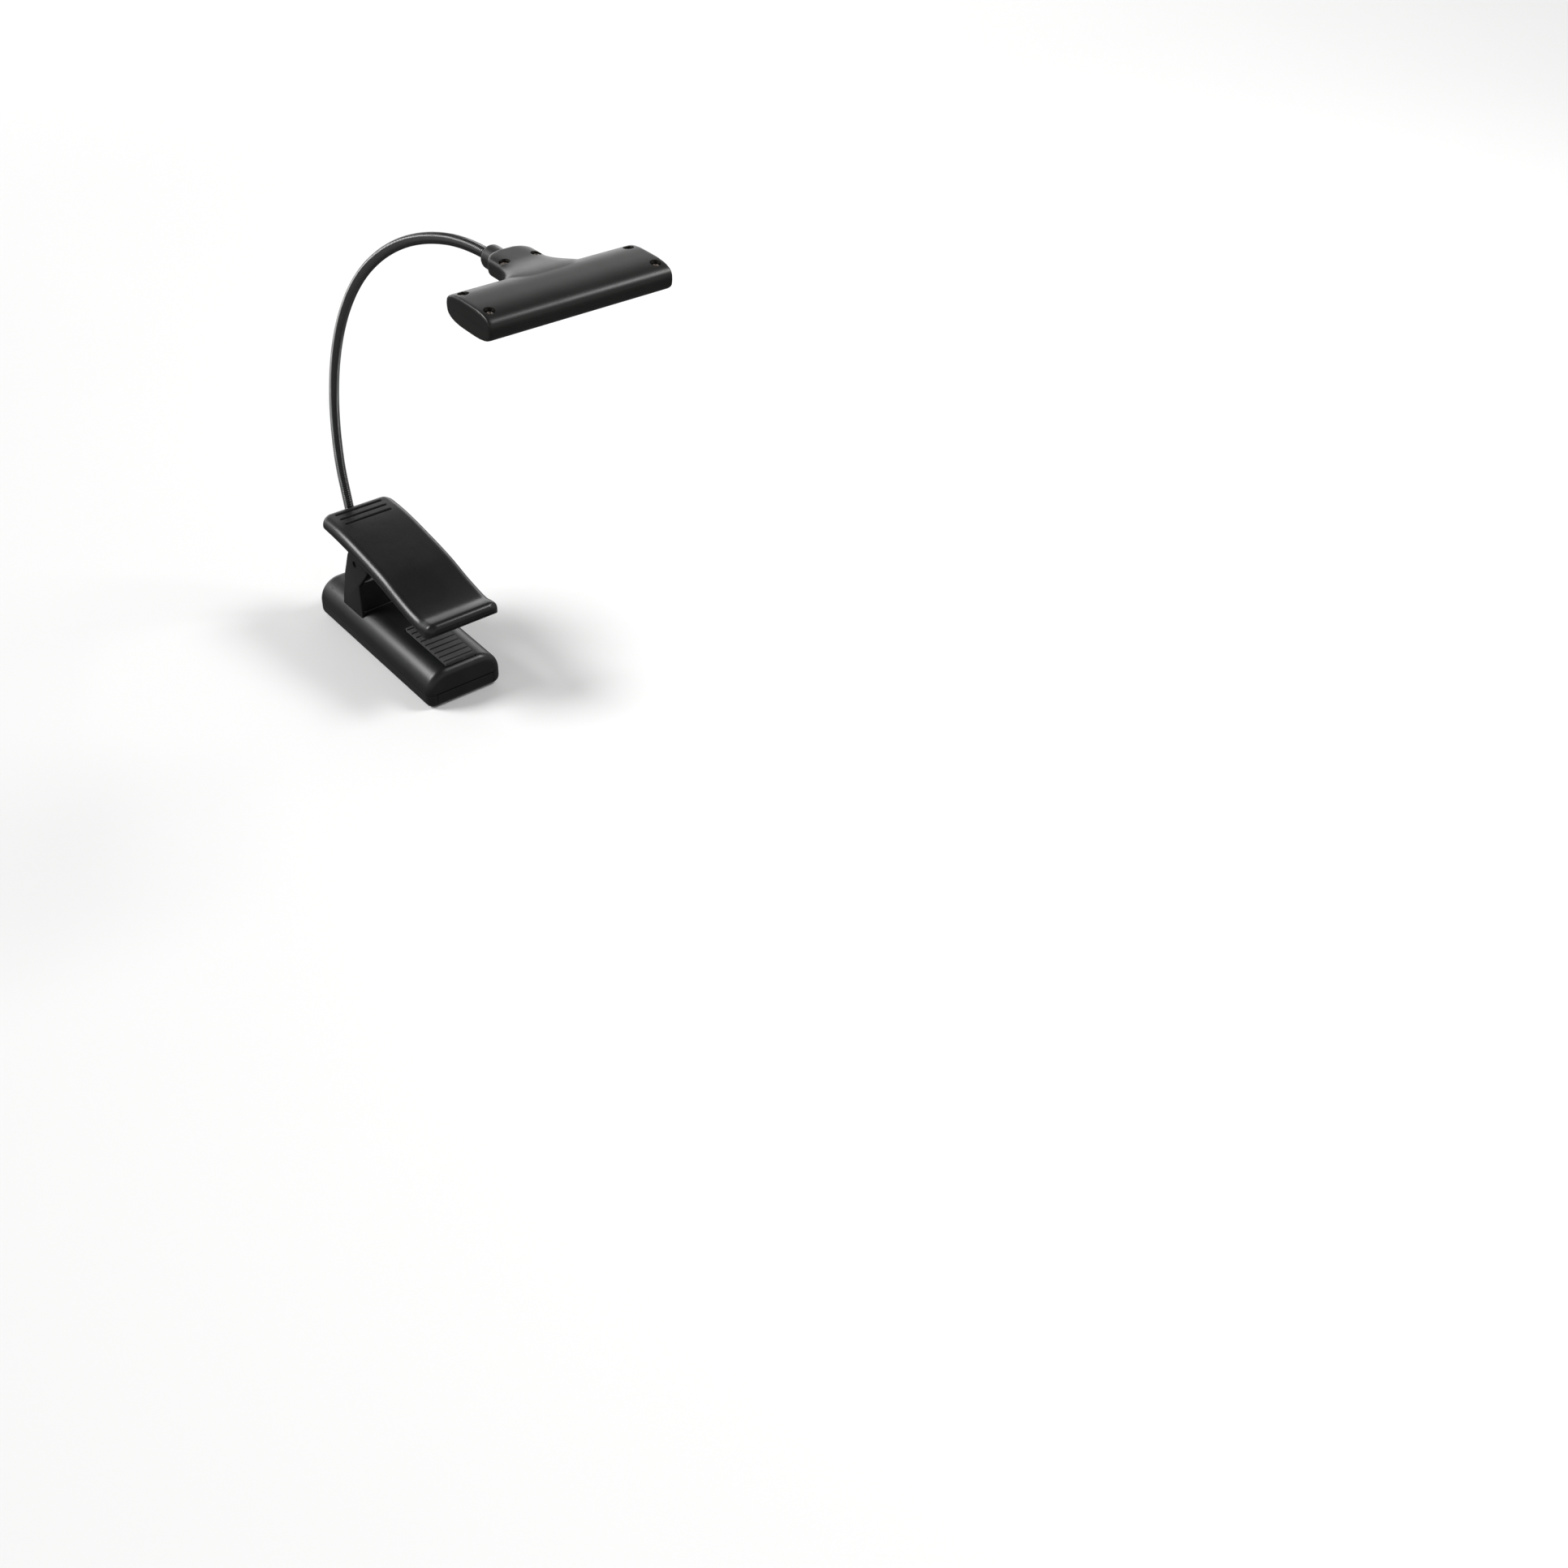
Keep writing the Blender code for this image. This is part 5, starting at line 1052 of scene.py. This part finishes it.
class LAMP_OT_light_bar(bpy.types.Operator):
    """Models the light bar's two shells and its clear window"""

    bl_idname = "lamp.light_bar"
    bl_label = "Light bar"

    def execute(self, context):
        sizes, colours = settings()
        plastic = moulded_plastic("Head plastic", colours.head, 0.36)
        solid = head_solid(sizes)
        reach, split, seam = 0.2, BAR_MIDDLE.z, 0.00003

        def hollow():
            return carve(bar_block("head_hollow", HEAD_WALL), "join",
                         tongue_block("tongue_hollow", HEAD_WALL))

        half_x, half_y = BAR_HIGH.x - 0.00645, 0.0060

        def window(inset):
            across, deep = half_x - inset, half_y - inset
            return block("window", (-across, BAR_MIDDLE.y - deep, split - 2 * BAR_HALF_HEIGHT),
                         (across, BAR_MIDDLE.y + deep, split - BAR_HALF_HEIGHT + HEAD_WALL + 0.001))

        top = carve(copied(solid, "bar_top"), "cut", hollow(),
                    block("below", (-reach, -reach, 0), (reach, reach, split + seam / 2)))
        bottom = carve(copied(solid, "bar_bottom"), "cut", hollow(),
                       block("above", (-reach, -reach, split - seam / 2), (reach, reach, 1)), window(0.0))
        lens = carve(copied(solid, "window_lens"), "cut", hollow())
        carve(lens, "keep", window(0.00012))
        posts = [rod("post", 0.0023, (middle.x, middle.y, split + HALF_GAP),
                     (middle.x, middle.y, seat + 0.002)) for _, middle, seat in head_screws()]
        carve(posts[0], "join", *posts[1:])
        carve(top, "join", carve(posts[0], "keep", solid))

        for node, middle, seat in head_screws():
            x, y = middle.x, middle.y
            crown = seat + 0.0007
            floor = 2 * split - crown if "tongue" not in node else TONGUE_Z - TONGUE_HALF_HEIGHT
            carve(bottom, "join", rod("foot", 0.0018, (x, y, floor + 0.0004), (x, y, split - HALF_GAP)))
            carve(top, "cut", rod("way", SCREW_WAY, (x, y, split - 0.004), (x, y, crown), 32),
                  rod("sink", 0.00158, (x, y, seat - 0.00125), (x, y, crown + 0.003)))
            carve(bottom, "cut", rod("pilot", SCREW_WAY, (x, y, seat - 0.0056), (x, y, split + 0.001), 32))
        for shell in (top, bottom):
            carve(shell, "cut", rod("bore", NECK_BORE, (0, TONGUE_BACK - 0.004, BOSS_Z),
                                    (0, TONGUE_BACK + BOSS_LENGTH + 0.001, BOSS_Z)))
        finish_piece(top, "light_bar", plastic, "head_plastic", "head_top_shell")
        finish_piece(bottom, "light_bar", plastic, "head_plastic", "head_bottom_shell")
        finish_piece(lens, "light_bar", clear_moulding("Clear window"), "clear_plastic", "lens")
        return {"FINISHED"}


class LAMP_OT_lamps(bpy.types.Operator):
    """Models the six lamps and their reflector, and gives their board its material"""

    bl_idname = "lamp.lamps"
    bl_label = "Lamps and reflector"

    def execute(self, context):
        resin = led_resin("Lamp resin")
        tray = block("reflector_tray", TRAY_LOW, TRAY_HIGH)
        for number, (low, high) in enumerate(LEDS, 1):
            x, y = (low.x + high.x) / 2, (low.y + high.y) / 2
            radius, tip = 0.0015, low.z
            dome = arc((0.0, tip + radius), radius, -90, 0, 12)
            lamp = turned(f"lamp_{number}", [*dome, (radius, high.z - 0.0006), (0.0018, high.z - 0.0006),
                                             (0.0018, high.z), (0.0, high.z)],
                          Matrix.Translation((x, y, 0)), 48)
            finish_piece(lamp, "light_bar", resin, "led_resin", f"led_{number}")
            carve(tray, "cut", rod("cup", 0.0031, (x, y, TRAY_LOW.z - 0.0001),
                                   (x, y, TRAY_HIGH.z + 0.0003), 48, 0.0, 0.0017))
        white = white_moulding("Reflector plastic", (0.80, 0.80, 0.79))
        finish_piece(tray, "light_bar", white, "white_plastic", "reflector")
        finish_node("led_board", circuit_board("Lamp board"))
        return {"FINISHED"}


# ------------------------------------------------------------------ screws and what is inside


class LAMP_OT_screws(bpy.types.Operator):
    """Models a cross-slot screw at each of its ten places"""

    bl_idname = "lamp.screws"
    bl_label = "Screws"

    def execute(self, context):
        _, colours = settings()
        nickel = plated_metal("Screw plating", colours.nickel, 0.33, tarnish=0.75)
        down = Matrix.Rotation(math.pi, 4, "X")
        for node, middle, seat in head_screws():
            self.screw(node, Matrix.Translation((middle.x, middle.y, seat)), 0.0042, nickel, "light_bar")
        for number in range(1, 5):
            low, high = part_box(f"case_screw_{number}")
            place = Matrix.Translation(((low.x + high.x) / 2, (low.y + high.y) / 2, low.z)) @ down
            self.screw(f"case_screw_{number}", place, high.z - low.z - 0.0011, nickel, "case")
        return {"FINISHED"}

    def screw(self, node, place, shank, material, body):
        head, height, stem = 0.0014, 0.0011, 0.0007
        crown = [(head, -height * 0.62), (head * 0.97, -height * 0.36), (head * 0.86, -height * 0.17),
                 (head * 0.62, -height * 0.05), (head * 0.3, -0.00001), (0.0, 0.0)]
        made = turned(node + "_plated", [(0.0, -height - shank), (stem * 0.6, -height - shank),
                                         (stem, -height - shank + 0.0004), (stem, -height),
                                         (head * 0.94, -height), (head, -height * 0.9), *crown],
                      Matrix.Identity(4), 48)
        for turn in (0, 90):
            bit = [(-0.0009, 0.0002), (-0.0004, -0.0006), (0.0004, -0.0006), (0.0009, 0.0002)]
            slot = slab("slot", bit, X, -0.00019, 0.00019)
            slot.data.transform(Matrix.Rotation(math.radians(turn), 4, "Z"))
            carve(made, "cut", slot)
        made.data.transform(place)
        finish_piece(made, body, material, "bright_steel", node)


class LAMP_OT_insides(bpy.types.Operator):
    """Models the two cells and their springs, and finishes the other pieces inside the case"""

    bl_idname = "lamp.insides"
    bl_label = "Cells and switch"

    def execute(self, context):
        _, colours = settings()
        jacket = cell_jacket("Cell film")
        for side in ("left", "right"):
            low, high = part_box(f"cell_{side}")
            length, radius, nub = high.y - low.y, CELL_RADIUS, 0.001
            body = length - nub
            profile = [(0.0, 0.0), (radius - 0.0012, 0.0), (radius - 0.001, 0.0002),
                       (radius - 0.0005, 0.0001), (radius, 0.0006), (radius, body - 0.0007),
                       (radius - 0.0006, body - 0.0001), (radius - 0.0011, body),
                       (radius - 0.0014, body - 0.0003), (0.0021, body - 0.0003), (0.0019, body),
                       (0.0019, length - 0.0002), (0.0017, length), (0.0, length)]
            cell = turned(f"power_cell_{side}", profile, self.cell_end(side, low, high), 72)
            finish_piece(cell, "case", jacket, "cell_jacket", f"cell_{side}")
        steel = plated_metal("Contact plating", colours.nickel, 0.25)
        wire = plated_metal("Contact wire", (0.50, 0.50, 0.50), 0.28)
        for side in ("left", "right"):
            self.contact_spring(side, wire)
            finish_node(f"contact_plate_{side}", steel)
        for node in ("contact_bridge_front", "neck_lock_nut"):
            finish_node(node, steel)
        finish_node("circuit_board", circuit_board("Switch board"))
        finish_node("switch_module", moulded_plastic("Switch plastic", (0.02, 0.02, 0.021), 0.4))
        finish_node("current_resistor", white_moulding("Resistor body", (0.70, 0.62, 0.48), 0.45))
        return {"FINISHED"}

    def cell_end(self, side, low, high):
        """The end that a cell starts from: the two cells lie opposite ways round."""
        start, way = (low.y, 1) if side == "left" else (high.y, -1)
        return along_y(((low.x + high.x) / 2, start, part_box(f"cell_{side}")[0].z + CELL_RADIUS), way)

    def contact_spring(self, side, material):
        low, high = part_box(f"contact_spring_{side}")
        wire, radius, turns = 0.0003, 0.0026, 3
        length = high.y - low.y - 2 * wire
        shape = bmesh.new()
        wound_wire(shape, radius, wire, turns, length / turns, wire, 28, 10)
        close_ends(shape)
        for corner in shape.verts:
            share = min(max(corner.co.z / length, 0.0), 1.0)
            corner.co.xy *= 1.0 - 0.4 * share
        bmesh.ops.transform(shape, matrix=self.cell_end(side, low, high), verts=shape.verts)
        finish_piece(as_object(f"battery_spring_{side}", shape), "case", material, "spring_steel",
                     f"contact_spring_{side}")


# ------------------------------------------------------------------ the stage


class LAMP_OT_stage(bpy.types.Operator):
    """Sets up the pale floor, the soft studio lights and the camera"""

    bl_idname = "lamp.stage"
    bl_label = "Stage"

    def execute(self, context):
        _, colours = settings()
        shape = bmesh.new()
        bmesh.ops.create_grid(shape, x_segments=24, y_segments=24, size=4.0)
        floor = as_object("floor", shape)
        floor.data.transform(Matrix.Translation((0, 0, -0.00002)))
        floor.data.materials.append(studio_floor("Pale floor", colours.floor))
        floor.visible_glossy = False

        self.pale_surroundings(context)
        self.soft_sun("Key", (-0.60, 0.50, 0.62), 3.0, 26.0)
        self.soft_light("Backdrop", (0.35, 1.3, 0.3), (0, 0, 0.1), (2.6, 0.45), 8.0)
        self.soft_light("Right", (0.55, -0.35, 0.75), (0, -0.05, 0.1), (0.3, 0.3), 4.5)
        context.scene.view_settings.view_transform = "Standard"

        data = bpy.data.cameras.new("Camera")
        data.lens, data.sensor_width, data.sensor_fit = 40.48, 36.0, "HORIZONTAL"
        data.clip_start, data.clip_end = 0.01, 20.0
        camera = bpy.data.objects.new("Camera", data)
        right, up = Vector((0.76087, -0.64702, 0.04947)), Vector((0.38390, 0.51029, 0.76956))
        back = right.cross(up).normalized()
        turn = Matrix((right, back.cross(right).normalized(), back)).transposed().to_4x4()
        camera.matrix_world = Matrix.Translation((-0.2535, -0.4815, 0.380)) @ turn
        context.scene.collection.objects.link(camera)
        context.scene.camera = camera
        return {"FINISHED"}

    def pale_surroundings(self, context):
        """Pale walls between a darker ceiling and, for reflections, a darker ground."""
        world = bpy.data.worlds.new("Studio")
        world.use_nodes = True
        tree = world.node_tree
        place = tree.nodes.new("ShaderNodeTexCoord")
        parts = tree.nodes.new("ShaderNodeSeparateXYZ")
        height = tree.nodes.new("ShaderNodeMapRange")
        height.inputs["From Min"].default_value = -1.0
        ramp = tree.nodes.new("ShaderNodeValToRGB")
        below, above = ramp.color_ramp.elements
        below.position, below.color = 0.40, (0.22, 0.22, 0.22, 1.0)
        above.position, above.color = 0.925, (0.16, 0.16, 0.165, 1.0)
        for position in (0.49, 0.71):
            ramp.color_ramp.elements.new(position).color = (1.0, 1.0, 1.0, 1.0)
        tree.links.new(place.outputs["Generated"], parts.inputs[0])
        tree.links.new(parts.outputs["Z"], height.inputs["Value"])
        tree.links.new(height.outputs["Result"], ramp.inputs[0])
        tree.links.new(ramp.outputs[0], tree.nodes["Background"].inputs["Color"])
        tree.nodes["Background"].inputs["Strength"].default_value = 0.6
        context.scene.world = world

    def soft_sun(self, name, place, power, spread):
        data = bpy.data.lights.new(name, "SUN")
        data.energy, data.angle = power, math.radians(spread)
        self.aim(data, name, place, (0, 0, 0))

    def soft_light(self, name, place, target, size, power):
        data = bpy.data.lights.new(name, "AREA")
        data.shape, data.energy = "RECTANGLE", power
        data.size, data.size_y = size
        self.aim(data, name, place, target)

    def aim(self, data, name, place, target):
        light = bpy.data.objects.new(name, data)
        place, target = Vector(place), Vector(target)
        turn = (place - target).to_track_quat("Z", "Y").to_matrix().to_4x4()
        light.matrix_world = Matrix.Translation(place) @ turn
        light.visible_camera = False
        bpy.context.scene.collection.objects.link(light)


class LAMP_PT_panel(bpy.types.Panel):
    """Lists the lamp's sizes, colours and pieces"""

    bl_idname = "LAMP_PT_panel"
    bl_label = "Reading Lamp"
    bl_space_type = "VIEW_3D"
    bl_region_type = "UI"
    bl_category = "Reading Lamp"

    def draw(self, context):
        for group in (context.scene.lamp_sizes, context.scene.lamp_colours):
            box = self.layout.box()
            for name in group.__annotations__:
                box.prop(group, name)
        for operator in OPERATORS:
            self.layout.operator(operator.bl_idname)


OPERATORS = (LAMP_OT_case, LAMP_OT_button, LAMP_OT_lever, LAMP_OT_pads, LAMP_OT_hinge, LAMP_OT_neck,
             LAMP_OT_light_bar, LAMP_OT_lamps, LAMP_OT_screws, LAMP_OT_insides, LAMP_OT_stage)
CLASSES = (LampSizes, LampColours, *OPERATORS, LAMP_PT_panel)


def register():
    for kind in CLASSES:
        bpy.utils.register_class(kind)
    bpy.types.Scene.lamp_sizes = bpy.props.PointerProperty(type=LampSizes)
    bpy.types.Scene.lamp_colours = bpy.props.PointerProperty(type=LampColours)


def unregister():
    del bpy.types.Scene.lamp_sizes, bpy.types.Scene.lamp_colours
    for kind in reversed(CLASSES):
        bpy.utils.unregister_class(kind)


def main():
    register()
    for operator in OPERATORS:
        group, name = operator.bl_idname.split(".")
        getattr(getattr(bpy.ops, group), name)()


if __name__ == "__main__":
    main()
